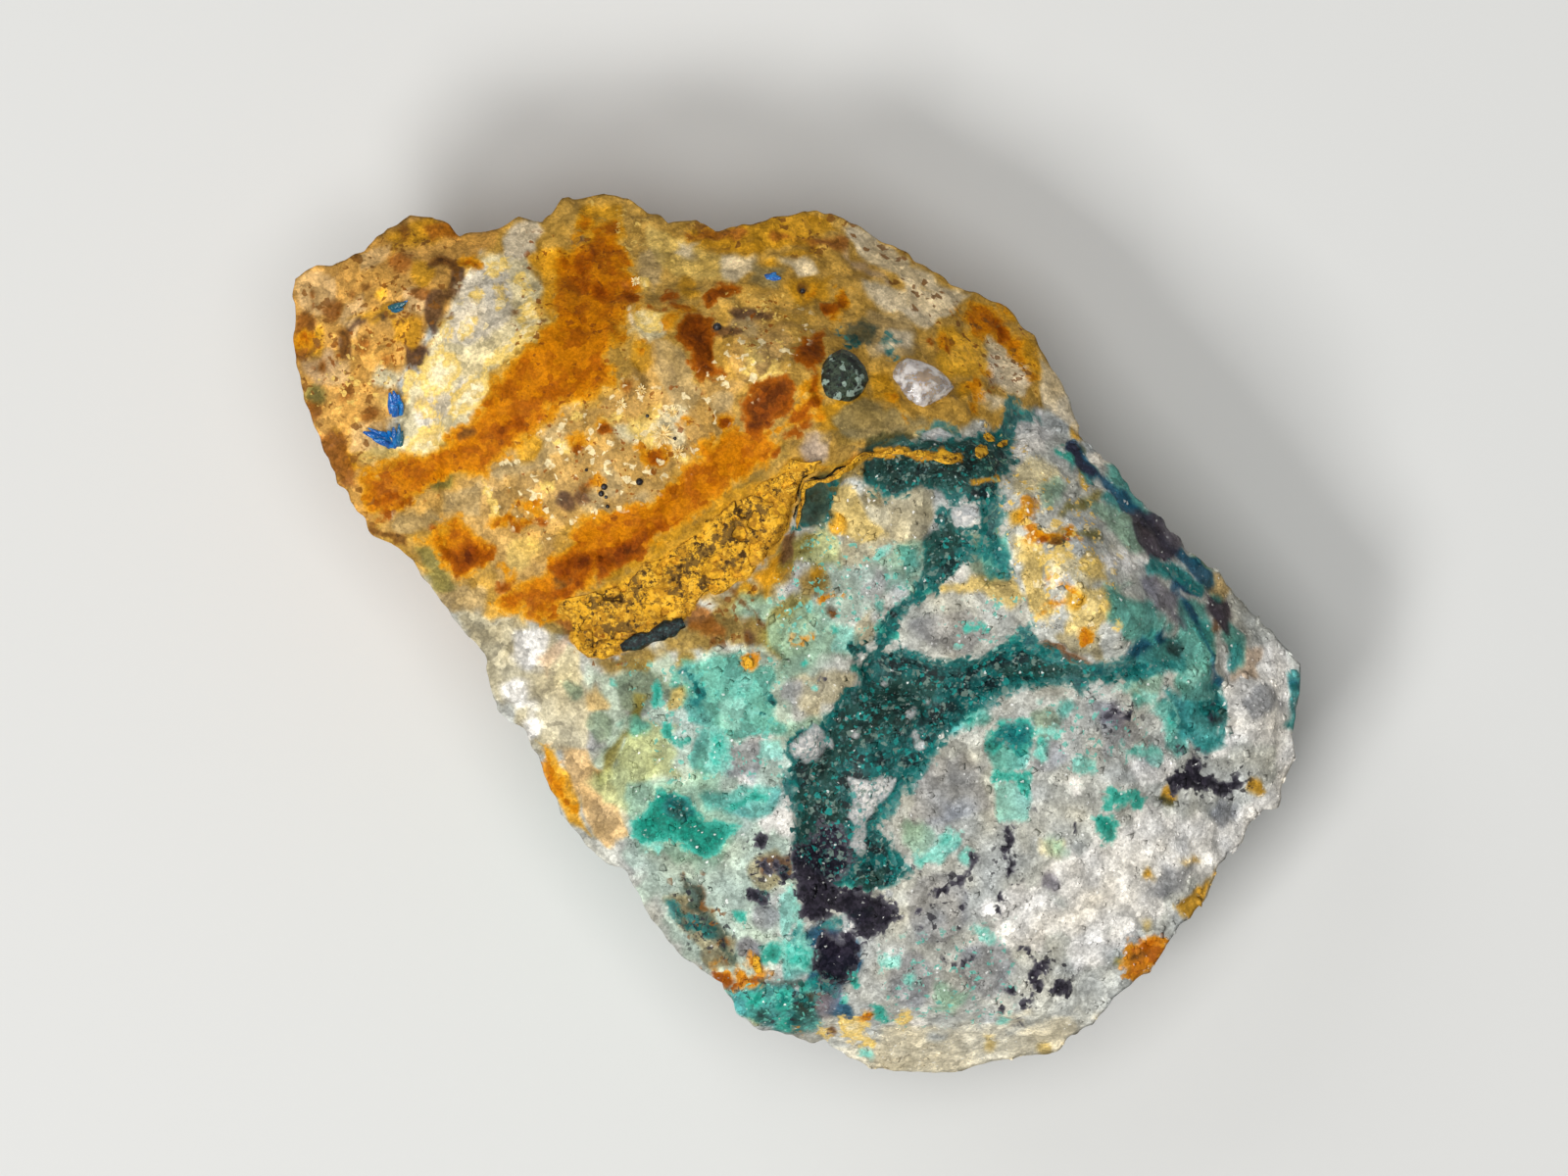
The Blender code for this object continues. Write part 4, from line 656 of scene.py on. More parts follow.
CRUST_WORN = dict(
    patches=((600, 640, 640, 632, 650, 640, 606, 656),),
    strokes=(
        ((688, 586, 712, 570, 740, 548, 778, 518), 5), ((602, 619, 640, 614), 3),
        ((720, 592, 752, 572), 4), ((648, 575, 650, 612), 3),
    ),
    spots=((640, 645, 8), (770, 540, 6), (690, 602, 6), (612, 600, 6)),
)
CRUST_RAGGED = ((20, 4.16), (9, 2.34))  # size and reach of the bays in a crust's border, in plan steps
CRUST_RAGGED_SEED = 141
CRUST_GRAINS = ((13, 0.16, 151), (6, 0.10, 157))  # size on the plan, relief in mm, seed
# How far each kind of crust stands proud of the stone's face, in mm
CRUST_RISE, SEAM_RISE, CRUST_RIM_RISE, CRACK_RISE, BIT_RISE = 0.22, 0.22, 0.26, 0.30, 0.25
PIT_DEPTH, CRACK_DEPTH, EATEN_DEPTH = 0.22, 0.55, 0.9  # mm
# Random fields (size on the plan, share, seed), and the level over which a crust is pitted or eaten away
PIT_DRIFTS, PIT_LEVEL = ((4.5, 2.2, 161), (18, 1.6, 163)), 1.7
EATEN_DRIFTS, EATEN_LEVEL = ((13, 0.9, 165), (6, 0.6, 167)), 0.35
CRUST_ROOT = 0.45  # mm below the stone's face

# ---- the growths ---------------------------------------------------------------------------------
# Each group's name, its node, and its blades: foot and tip on the plan, how far the tip stands up in mm,
# width in plan steps, how green
BLADE_GROUPS = (
    ("blue_blades_upper", "mrazekite_blades_upper", (
        ((405, 428), (398, 401), 0.45, 9, 0.0), ((409, 426), (402, 399), 0.60, 8, 0.0),
        ((410, 425), (407, 403), 0.50, 7, 0.1), ((401, 426), (397, 408), 0.35, 6, 0.0),
        ((408, 429), (411, 411), 0.40, 6, 0.3), ((403, 429), (405, 414), 0.55, 8, 0.0),
    )),
    ("blue_blades_lower", "mrazekite_blades_lower", (
        ((404, 452), (371, 441), 0.40, 9, 0.0), ((401, 449), (376, 437), 0.30, 5, 0.0),
        ((405, 456), (381, 448), 0.45, 8, 0.0), ((402, 446), (386, 441), 0.25, 6, 0.1),
        ((405, 461), (402, 436), 0.50, 7, 0.4), ((407, 460), (408, 433), 0.55, 6, 0.6),
        ((408, 462), (411, 440), 0.30, 6, 0.8), ((400, 457), (392, 451), 0.35, 7, 0.2),
        ((403, 447), (396, 440), 0.35, 6, 0.0),
    )),
    ("teal_blades", "mrazekite_teal_blade", (
        ((390, 318), (415, 309), 0.25, 8, 0.9), ((395, 319), (412, 315), 0.20, 6, 0.7),
        ((404, 316), (416, 307), 0.30, 5, 0.3),
    )),
    ("far_blue_flake", "mrazekite_flake", (
        ((779, 282), (797, 284), 0.20, 8, 0.3), ((782, 286), (792, 278), 0.15, 7, 0.2),
    )),
)
BLADE_THICKNESS = 0.16  # mm
BLADE_ROOT = 0.25  # mm below the stone's face

GRAIN_OUTLINE = corners_of(
    906, 384, 919, 363, 935, 366, 953, 373, 972, 388, 976, 398, 963, 407, 952, 412, 948, 421, 939, 427, 930,
    422, 922, 415, 910, 400,
)
NODULE_OUTLINE = corners_of(
    833, 413, 833, 394, 838, 374, 847, 362, 860, 356, 871, 361, 882, 374, 887, 387, 879, 402, 869, 412, 852,
    417, 839, 418,
)
# share of the outline, height in mm over the stone's face
GRAIN_PROFILE = ((0.8, -0.8), (0.98, -0.1), (0.94, 0.35), (0.62, 0.75), (0.25, 0.95))
NODULE_PROFILE = (
    (0.8, -0.8), (0.98, -0.2), (1.0, 0.05), (0.86, 0.40), (0.6, 0.62), (0.3, 0.75), (0.08, 0.78),
)
LATH_PATH = corners_of(634, 661, 650, 655, 668, 648, 684, 641, 698, 635)
LATH_HALF_WIDTHS = (4, 8, 6, 9, 5)
LATH_RINGS, LATH_SIDES = 12, 10
LATH_LIFT, LATH_HALF_THICKNESS = 0.12, 0.32  # mm
LATH_WOBBLE = 0.5  # of its half width
SPRAYS = (  # middle on the plan, length of its needles, how many
    (677, 444, 13, 26), (687, 421, 7, 14), (634, 413, 7, 12), (655, 398, 6, 10), (649, 287, 6, 14),
    (693, 462, 7, 10),
)
LONGEST_NEEDLES = 13
NEEDLE_WIDTH, NEEDLE_THICKNESS, NEEDLE_ROOT = 0.10, 0.07, 0.10  # mm
BEADS = (
    (653, 492, 3.8), (617, 497, 3.5), (614, 504, 3.2), (619, 507.5, 2.0), (620.5, 517, 2.2),
    (689, 448, 2.0), (732, 334, 4.5), (661, 425, 2.0), (599, 480, 1.8), (819, 297, 3.0),
)
BEAD_RINGS, BEAD_SIDES = 8, 12
BEAD_FLATNESS = 0.8


# ---- formulas ------------------------------------------------------------------------------------
def plan_place(x, y):
    """Metres along X and Y of a place on the plan."""
    return (x - PLAN_CENTRE[0]) * PLAN_STEP, (PLAN_CENTRE[1] - y) * PLAN_STEP


def points_over(plan, height):
    """Points in metres over places on the plan, at heights in mm."""
    return np.stack([*plan_place(*plan.T), 0 * plan[:, 0] + height * MM], axis=1)


def chance(ix, iy, iz, seed):
    """A number from 0 to 1 for each whole-number place; the same place always gives the same one."""
    h = (ix * 374761393 + iy * 668265263 + iz * 974634777 + seed * 362437) & 0xFFFFFFFF
    h = ((h ^ (h >> 13)) * 1274126177) & 0xFFFFFFFF
    return ((h ^ (h >> 16)) & 0xFFFFFF) / 0xFFFFFF


def broken_grains(x, y, z, cell, seed):
    """Relief of broken grains, about -0.5 to 0.5: each jittered cell of space holds a tilted block with
    steep sides turned its own way, and at each place the highest block wins. All in plan steps."""
    home = [np.floor(value / cell).astype(np.int64) for value in (x, y, z)]
    highest = np.full(np.shape(x), -9.0)
    for step in itertools.product((-1, 0, 1), repeat=3):
        ix, iy, iz = (corner + move for corner, move in zip(home, step))
        dx = x / cell - ix - chance(ix, iy, iz, seed)
        dy = y / cell - iy - chance(ix, iy, iz, seed + 1)
        dz = z / cell - iz - chance(ix, iy, iz, seed + 2)
        turn = 2 * np.pi * chance(ix, iy, iz, seed + 3)
        along, across = dx * np.cos(turn) + dy * np.sin(turn), dy * np.cos(turn) - dx * np.sin(turn)
        flank = np.maximum(np.maximum(np.abs(along), np.abs(across)), np.abs(dz)) - 0.3
        block = 0.5 * chance(ix, iy, iz, seed + 4) + 0.45 * along - 1.1 * np.maximum(flank, 0)
        highest = np.maximum(highest, block)
    return highest - 0.3


def grain_relief(x, y, z, grains):
    """The relief of several sizes of broken grains together."""
    return sum(share * broken_grains(x, y, z, cell, seed) for cell, share, seed in grains)


def drift(x, y, z, cell, seed):
    """A smooth random field from -1 to 1: values at the corners of a cubic grid, eased between them."""
    total = 0
    corner = [np.floor(value / cell) for value in (x, y, z)]
    share = [value / cell - base for value, base in zip((x, y, z), corner)]
    ease = [part * part * (3 - 2 * part) for part in share]
    for step in itertools.product((0, 1), repeat=3):
        weight = 1
        for part, move in zip(ease, step):
            weight = weight * (part if move else 1 - part)
        ix, iy, iz = (base.astype(np.int64) + move for base, move in zip(corner, step))
        total = total + weight * chance(ix, iy, iz, seed)
    return 2 * total - 1


def drifts(x, y, z, fields, turn=0):
    """The sum of smooth random fields; each turn gives another one."""
    return sum(share * drift(x, y, z, cell, seed + turn) for cell, share, seed in fields)


def wander(x, y, z, cell, seed):
    """A smooth random move on the plan, from -1 to 1 both ways."""
    return np.stack([drift(x, y, z, cell, seed), drift(x, y, z, cell, seed + 2)], axis=1)


def along_path(path, share):
    """Points at shares of the way along a path, by its length."""
    corners = np.array(path, float)
    run = np.concatenate([[0], np.cumsum(np.hypot(*np.diff(corners, axis=0).T))])
    return np.stack([np.interp(share * run[-1], run, corners[:, k]) for k in (0, 1)], axis=1)


def path_sides(path, width):
    """The two sides of a strip along a path: its points moved half a width to the right of the way they
    run, and to the left."""
    points = np.array(path, float)
    run = np.gradient(points, axis=0)
    aside = np.stack([-run[:, 1], run[:, 0]], axis=1) / np.hypot(*run.T)[:, None] * width / 2
    return points + aside, points - aside


def distance_to_path(x, y, path):
    """How far each place is from a line through the path's points, on the plan."""
    nearest = np.full(np.shape(x), 1e9)
    for (ax, ay), (bx, by) in zip(path[:-1], path[1:]):
        run = (bx - ax) ** 2 + (by - ay) ** 2
        share = np.clip(((x - ax) * (bx - ax) + (y - ay) * (by - ay)) / run, 0, 1)
        nearest = np.minimum(nearest, np.hypot(x - ax - share * (bx - ax), y - ay - share * (by - ay)))
    return nearest


def inside_patch(x, y, outline):
    """True where a place is inside an outline: a level line from it crosses the outline an odd number
    of times."""
    crossings = np.zeros(np.shape(x), int)
    for (ax, ay), (bx, by) in zip(outline, outline[1:] + outline[:1]):
        if ay == by:
            continue
        spans = (ay > y) != (by > y)
        crossings += spans & (x < ax + (y - ay) * (bx - ax) / (by - ay))
    return crossings % 2 == 1


def depth_inside(x, y, patches=(), strokes=(), spots=()):
    """How deep each place is inside a mineral's patches, strokes and spots, in plan steps: negative
    outside, and cut off at REACH either way."""
    depth = np.full(np.shape(x), -float(REACH))
    for outline in itertools.starmap(corners_of, patches):
        away = distance_to_path(x, y, outline + outline[:1])
        depth = np.maximum(depth, np.where(inside_patch(x, y, outline), away, -away))
    for path, half_width in strokes:
        depth = np.maximum(depth, half_width - distance_to_path(x, y, corners_of(*path)))
    for spot_x, spot_y, radius in spots:
        depth = np.maximum(depth, radius - np.hypot(x - spot_x, y - spot_y))
    return np.minimum(depth, REACH)


def stone_height(x, y):
    """Height in mm of the stone over places on the plan: the lowest of its broken faces, with the edges
    between them eased, then mounds, grooves and the relief of the grains."""
    low = 0
    for face_x, face_y, height, down_x, down_y, slope in FACES:
        run = ((x - face_x) * down_x + (y - face_y) * down_y) * PLAN_STEP / MM
        low = low + np.exp(-(height - math.tan(math.radians(slope)) * run) / EDGE_SOFTNESS)
    height = -EDGE_SOFTNESS * np.log(low)
    for mound_x, mound_y, half_x, half_y, rise in MOUNDS:
        height = height + rise * np.exp(-(((x - mound_x) / half_x) ** 2) - ((y - mound_y) / half_y) ** 2)
    for path, half_width, depth in GROOVES:
        height = height - depth * np.exp(-((distance_to_path(x, y, path) / half_width) ** 2))
    return height + grain_relief(x, y, 0 * x, GRAINS)


def on_stone(x, y, above=0.0):
    """A point in metres over a place on the plan, above the stone's face by so many mm."""
    place = stone_height(np.array([float(x)]), np.array([float(y)]))[0] + above
    return (*plan_place(x, y), place * MM)


def rim_side(first, last, at, every=1):
    """Points at shares of the way along one side of the rim, from one corner to the next, by its
    length; every says how many of the rim's corners are passed over, for a smoother line."""
    corners = np.array(RIM + RIM[:1], float)[first : last + 1]
    return along_path(np.concatenate([corners[:-1:every], corners[-1:]]), at)


def spread(u, v, every=1):
    """Plan places for u and v from 0 to 1 across the stone: a sheet stretched between the rim's four
    sides, u from the left side to the right one and v from the bottom side to the top one."""
    top = rim_side(CORNER_UPPER_LEFT, CORNER_UPPER_RIGHT, u, every)
    right = rim_side(CORNER_UPPER_RIGHT, CORNER_EAST, 1 - v, every)
    bottom = rim_side(CORNER_EAST, CORNER_BOTTOM, 1 - u, every)
    left = rim_side(CORNER_BOTTOM, len(RIM), v, every)
    upper_left, upper_right, east, low = (
        np.array(RIM[corner], float)
        for corner in (CORNER_UPPER_LEFT, CORNER_UPPER_RIGHT, CORNER_EAST, CORNER_BOTTOM)
    )
    u, v = u[:, None], v[:, None]
    between_corners = v * ((1 - u) * upper_left + u * upper_right) + (1 - v) * ((1 - u) * low + u * east)
    return v * top + (1 - v) * bottom + u * right + (1 - u) * left - between_corners


def stone_surface(u, v, down):
    """The stone's outside for u and v across it, and down from 0 at the rim to 1 at the resting face.
    Returns plan places, heights in mm, the fine relief and the plan places that its minerals are read
    at: on the wall they are the rim's, folded back inwards, so veins run on down the wall."""
    upper, lower = spread(u, v), spread(u, v, every=BASE_CORNERS)
    lower = PLAN_CENTRE + BASE_SHIFT + (lower - PLAN_CENTRE) * BASE_SHARE
    rim_height = stone_height(*upper.T)
    height = rim_height * (1 - down)
    plan = upper + (lower - upper) * (down**WALL_BOW)[:, None]
    plan = plan + (PLAN_CENTRE - plan) * (BASE_ROUNDING * down**BASE_ROUNDING_POWER)[:, None]
    depth = height * MM / PLAN_STEP
    relief = grain_relief(*plan.T, depth * WALL_TILT, WALL_GRAINS)
    inward = (PLAN_CENTRE - plan) / np.hypot(*(PLAN_CENTRE - plan).T)[:, None]
    bite = (WALL_PROUD - relief) * WALL_RELIEF * MM / PLAN_STEP * np.sin(np.pi * down) ** 0.7
    on_wall = (down > 0) & (down < 1)
    plan = plan + np.where(on_wall, np.maximum(bite, 0), 0)[:, None] * inward
    fine = grain_relief(*plan.T, depth, FINE_GRAINS)
    notch = EDGE_NOTCH * wander(*plan.T, depth, *EDGE_NOTCH_FIELD)
    plan = plan + notch + np.where(on_wall, (0.1 - fine) * MM / PLAN_STEP, 0)[:, None] * inward
    height = np.where(down > 0, height, rim_height + fine)
    below = (rim_height - height) * MM / PLAN_STEP
    read_at = upper + WALL_FOLD * np.where(on_wall, below, 0)[:, None] * inward
    return plan, height, fine, read_at


def ground_tones(x, y, height):
    """The quartz's own tone at each place: every tint in turn is laid over what lies under it, through an
    edge that is eased over its softness and shaken by drift and by the grains, and then each place is
    made a little lighter or darker, and warmer or cooler."""
    z = height * MM / PLAN_STEP
    grain = broken_grains(x, y, z, *TONE_GRAIN)
    tones = np.tile(QUARTZ_TONE, (len(x), 1))
    for number, (tone, softness, cover, places) in enumerate(TINTS.values(), 1):
        softness = TINT_SOFTNESS * softness
        shaken = drifts(x, y, z, TINT_DRIFTS, number) + grain
        depth = depth_inside(x, y, **places) + TINT_SHAKE * softness * shaken
        share = np.clip(depth / softness + 0.5, 0, 1)
        share = cover * share * share * (3 - 2 * share)
        tones = tones + share[:, None] * (np.array(tone) - tones)
    light = drifts(x, y, z, LIGHTNESS_DRIFTS) + LIGHTNESS_GRAIN * grain
    return tones * (1 + light[:, None]) + drifts(x, y, z, WARMTH_DRIFTS)[:, None] * np.array(WARMER)


# ---- meshes --------------------------------------------------------------------------------------
def place_object(name, data, place=(0, 0, 0)):
    obj = bpy.data.objects.new(name, data)
    obj.location = place
    bpy.context.scene.collection.objects.link(obj)
    return obj


def new_piece(name, points, faces):
    """A smooth mesh object at the origin, with its place in its mesh. Faces are arrays of equal-sided
    faces."""
    mesh = bpy.data.meshes.new(name)
    corners = [face for group in faces for face in group.tolist()]
    mesh.from_pydata(np.asarray(points, np.float32), [], corners, shade_flat=False)
    mesh.validate()
    return place_object(name, mesh)


def settle(piece, material, node=None):
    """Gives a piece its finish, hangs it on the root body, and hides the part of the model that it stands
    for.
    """
    piece.data.materials.append(material)
    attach(piece, "root")
    if node:
        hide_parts(node)


def close_shell(obj):
    """Removes vertices that no face uses and makes every face point outwards."""
    shell = bmesh.new()
    shell.from_mesh(obj.data)
    loose = [vertex for vertex in shell.verts if not vertex.link_faces]
    bmesh.ops.delete(shell, geom=loose, context="VERTS")
    bmesh.ops.recalc_face_normals(shell, faces=shell.faces)
    shell.to_mesh(obj.data)
    shell.free()


def read_values(items, key, width=1):
    """One row of numbers for each of a mesh's vertices or of an attribute's values."""
    values = np.empty(len(items) * width, np.float32)
    items.foreach_get(key, values)
    return values.reshape(-1, width)


def set_attribute(obj, name, values):
    attribute = obj.data.attributes.new(name, "FLOAT", "POINT")
    attribute.data.foreach_set("value", np.asarray(values, np.float32))


def set_colour(obj, name, colours):
    """Writes a linear red, green and blue for each vertex."""
    attribute = obj.data.attributes.new(name, "FLOAT_COLOR", "POINT")
    solid = np.concatenate([colours, np.ones((len(colours), 1))], axis=1)
    attribute.data.foreach_set("color", solid.astype(np.float32).reshape(-1))


def set_minerals(obj, x, y, height):
    """Writes how deep each vertex is inside each mineral. The places are shaken a little first, so that
    no edge is a clean line."""
    z = height * MM / PLAN_STEP
    shaken = [place + drifts(x, y, z, fields) for place, fields in zip((x, y), MINERAL_SHAKE)]
    for name, places in MINERALS.items():
        set_attribute(obj, name, depth_inside(*shaken, **places))
    set_colour(obj, "ground", np.stack(linear(*ground_tones(x, y, height).T), axis=1))


def grid_faces(number):
    """The four-sided faces of a grid of vertices, from the grid of their numbers."""
    corners = (number[:-1, :-1], number[1:, :-1], number[1:, 1:], number[:-1, 1:])
    return np.stack(corners, axis=-1).reshape(-1, 4)


def block_outside(across, down_cells):
    """u, v and down for the outside of a block, with its faces: a grid over its top, rings down its
    wall from the top's border, and one face that closes the foot."""
    side = np.arange(across + 1)
    number = np.arange((across + 1) ** 2).reshape(across + 1, across + 1)
    border = np.concatenate([number[:-1, 0], number[-1, :-1], number[:0:-1, -1], number[0, :0:-1]])
    u, v = (grid.reshape(-1) / across for grid in np.meshgrid(side, side, indexing="ij"))
    ring = len(border)
    rows = np.concatenate([border[None], len(u) + np.arange(down_cells * ring).reshape(down_cells, ring)])
    wall = grid_faces(np.concatenate([rows, rows[:, :1]], axis=1))
    down = np.repeat(np.arange(1, down_cells + 1) / down_cells, ring)
    faces = [grid_faces(number), wall, rows[-1][None, ::-1]]
    u_all, v_all = (np.concatenate([grid, np.tile(grid[border], down_cells)]) for grid in (u, v))
    return u_all, v_all, np.concatenate([np.zeros(len(u)), down]), faces


def make_stone():
    u, v, down, faces = block_outside(TOP_CELLS, WALL_CELLS)
    plan, height, fine, read_at = stone_surface(u, v, down)
    height = np.maximum(height, 0)
    stone = new_piece("quartz_stone", points_over(plan, height), faces)
    set_minerals(stone, *read_at.T, height)
    set_attribute(stone, "relief", fine)
    settle(stone, finish_stone(), "quartz_matrix")
    return stone


def make_sugar(stone, name, cover, size, seed):
    """Small broken crystals on the stone: on a random share of its vertices stands a stretched, turned
    double pyramid, which takes the stone's own minerals there."""
    mesh = stone.data
    attributes = mesh.attributes
    places, normals = (read_values(mesh.vertices, key, 3) for key in ("co", "normal"))
    sugary = read_values(attributes["sparkling"].data, "value")[:, 0]
    here = (chance(np.arange(len(places)), 0, 0, seed) < cover) & (places[:, 2] > SUGAR_LOWEST)
    here = np.flatnonzero(here & (normals[:, 2] > SUGAR_STEEPEST) & (sugary > 0))
    random = [chance(here, 0, k, seed) for k in range(1, 9)]
    axis = normals[here] + SUGAR_LEAN * (np.stack(random[:3], axis=1) - 0.5)
    axis = axis / np.linalg.norm(axis, axis=1)[:, None]
    side = np.cross(axis, np.stack(random[3:6], axis=1) - 0.5)
    side = side / np.linalg.norm(side, axis=1)[:, None]
    other = np.cross(axis, side)
    half = (size * (0.5 + 0.8 * random[6] ** 2) * MM)[:, None]
    middle = places[here] - SUGAR_SUNK * half * normals[here]
    corners = np.stack([
        middle + share * half * way
        for reach, way in zip(SUGAR_REACHES, (axis, side, other)) for share in (reach, -reach)
    ], axis=1)
    faces = (6 * np.arange(len(here))[:, None, None] + np.array(SUGAR_FACES)).reshape(-1, 3)
    sugar = new_piece(name, corners.reshape(-1, 3), [faces])
    for mineral in (*MINERALS, "relief"):
        values = read_values(attributes[mineral].data, "value")[here, 0]
        set_attribute(sugar, mineral, np.repeat(values + SUGAR_RELIEF * (mineral == "relief"), 6))
    tones = read_values(attributes["ground"].data, "color", 4)[here, :3]
    set_colour(sugar, "ground", np.repeat(tones, 6, axis=0))
    settle(sugar, mesh.materials[0])


def make_sheet(name, edges, rise, cells, material, pits=0, node=None):
    """A crust stretched between its near and far edges: at its edge it dips under the stone's face, and
    inside it stands proud by rise, broken into small grains, with pits and the crack."""
    along, across = (np.linspace(0, 1, count + 1) for count in cells)
    s, t = (grid.reshape(-1) for grid in np.meshgrid(along, across, indexing="ij"))
    near, far = (along_path(edge, s) for edge in edges)
    plan = near + (far - near) * t[:, None]
    for cell, reach in CRUST_RAGGED:
        plan = plan + reach * wander(*plan.T, 0 * s, cell, CRUST_RAGGED_SEED)
    x, y, z = *plan.T, 0 * s
    face = stone_height(x, y)
    from_edge = np.minimum(np.sin(np.pi * s), np.sin(np.pi * t))
    swell = rise * np.clip(4 * from_edge, 0, 1) ** 0.5
    pit = np.clip(drifts(x, y, z, PIT_DRIFTS) - PIT_LEVEL, 0, 1) * pits
    crack = np.exp(-((distance_to_path(x, y, CRACK) / CRACK_REACH) ** 2))
    grain = grain_relief(x, y, z, (FINE_GRAINS[0], *CRUST_GRAINS))
    top = face + swell + grain - PIT_DEPTH * pit - CRACK_DEPTH * crack
    eaten = np.clip(1 - 5 * from_edge, 0, 1) + drifts(x, y, z, EATEN_DRIFTS)
    top = top - EATEN_DEPTH * pits * np.clip(eaten - EATEN_LEVEL, 0, 1)
    border = (s == 0) | (s == 1) | (t == 0) | (t == 1)
    top = np.where(border, face - CRUST_ROOT, top)
    points = [points_over(plan, height) for height in (top, face - CRUST_ROOT)]
    number = np.arange(len(s)).reshape(len(along), len(across))
    under = number + len(s)
    under[0], under[-1], under[:, 0], under[:, -1] = number[0], number[-1], number[:, 0], number[:, -1]
    sheet = new_piece(name, np.concatenate(points), [grid_faces(number), grid_faces(under[:, ::-1])])
    for attribute, values in (("pit", pit), ("crack", crack), ("worn", depth_inside(x, y, **CRUST_WORN))):
        set_attribute(sheet, attribute, np.tile(values, 2))
    close_shell(sheet)
    settle(sheet, material, node)


def make_crust():
    ochre = finish_crust()
    make_sheet("ochre_sheet", CRUST_EDGES, CRUST_RISE, (230, 56), ochre, 1, "ochre_crust")
    make_sheet("ochre_seam", SEAM_EDGES, SEAM_RISE, (60, 10), ochre)
    make_sheet("ochre_rim", path_sides(CRUST_RIM, CRUST_RIM_WIDTH), CRUST_RIM_RISE, (60, 6), ochre)
    # A near-black sheet lying in the crust's crack: painted shade in the gap.
    make_sheet("crack_shade_sheet", path_sides(CRACK, CRACK_WIDTH), CRACK_RISE, (60, 4), finish_crack_shade())
    for number, edges in enumerate(OCHRE_BITS):
        make_sheet(f"ochre_bit_{number}", edges, BIT_RISE, (12, 10), ochre)


def make_rings(name, solids, material, node=None, greener=None):
    """One mesh of closed solids. Each solid is an array of rings of points, joined ring to ring and
    closed by a face over its first and last ring."""
    faces, first = {}, 0
    for solid in solids:
        rings, around = solid.shape[:2]
        number = first + np.arange(rings * around).reshape(rings, around)
        turned = np.roll(number, -1, axis=1)
        side = np.stack([number[:-1], turned[:-1], turned[1:], number[1:]], axis=-1).reshape(-1, 4)
        faces.setdefault(4, []).append(side)
        faces.setdefault(around, []).append(np.stack([number[0, ::-1], number[-1]]))
        first += rings * around
    points = np.concatenate([solid.reshape(-1, 3) for solid in solids])
    piece = new_piece(name, points, [np.concatenate(group) for group in faces.values()])
    if greener is not None:
        set_attribute(piece, "greener", np.repeat(greener, [solid.size // 3 for solid in solids]))
    close_shell(piece)
    settle(piece, material, node)


def blade(foot, tip, width, thickness, sections=7, around=6, blunt=0.25):
    """A flat crystal from foot to tip in metres: flattened rings whose width swells in the middle and
    narrows towards both ends."""
    foot, tip = np.array(foot, float), np.array(tip, float)
    axis = tip - foot
    length = np.linalg.norm(axis)
    axis = axis / length
    side = np.cross(axis, (0, 0, 1))
    side = side / np.linalg.norm(side)
    upward = np.cross(side, axis)
    along = np.linspace(0, 1, sections)
    swell = blunt + (1 - blunt) * np.clip(1 - np.abs(2 * along - 0.9) ** 3, 0, 1)
    turn = 2 * np.pi * (np.arange(around) + 0.5) / around
    ring = np.cos(turn)[:, None] * side * width / 2 + np.sin(turn)[:, None] * upward * thickness / 2
    return foot + (along[:, None] * length * axis)[:, None, :] + swell[:, None, None] * ring[None]


def make_blades():
    material = finish_blades()
    for name, node, blades in BLADE_GROUPS:
        solids = [
            blade(on_stone(*foot, -BLADE_ROOT), on_stone(*tip, rise), width * PLAN_STEP, BLADE_THICKNESS * MM)
            for foot, tip, rise, width, _ in blades
        ]
        greener = [green for *_, green in blades]
        make_rings(name, solids, material, node, greener=greener)


def make_lump(name, outline, middle, profile, around, material, node):
    """A lump that stands on the stone: its outline on the plan shrunk towards its own middle by the
    profile's shares, at the profile's heights in mm over the stone's face at the middle given."""
    floor = on_stone(*middle)[2] / MM
    centre = np.mean(outline, axis=0)
    ring = along_path(outline + outline[:1], np.arange(around) / around)
    rings = [points_over(centre + (ring - centre) * share, floor + height) for share, height in profile]
    make_rings(name, [np.stack(rings)], material, node)


def make_lath():
    """A bar along its path: rings of a rough, flattened section."""
    across = np.array(LATH_PATH[-1], float) - LATH_PATH[0]
    across = np.array((-across[1], across[0])) / np.hypot(*across)
    turn = 2 * np.pi * (np.arange(LATH_SIDES) + 0.5) / LATH_SIDES
    squarish = [np.sign(wave) * np.abs(wave) ** 0.7 for wave in (np.cos(turn), np.sin(turn))]
    known = np.arange(len(LATH_HALF_WIDTHS))
    half_widths = np.interp(np.linspace(0, known[-1], LATH_RINGS), known, LATH_HALF_WIDTHS)
    rings = []
    for number, (x, y) in enumerate(along_path(LATH_PATH, np.linspace(0, 1, LATH_RINGS))):
        wobble = 1 + LATH_WOBBLE * (chance(np.arange(LATH_SIDES), number, 0, 171) - 0.5)
        out = squarish[0] * half_widths[number] * wobble
        height = on_stone(x, y, LATH_LIFT)[2] / MM + squarish[1] * LATH_HALF_THICKNESS * wobble
        rings.append(points_over(np.array((x, y)) + out[:, None] * across, height))
    make_rings("lath_bar", [np.stack(rings)], finish_lath(), "black_green_lath")


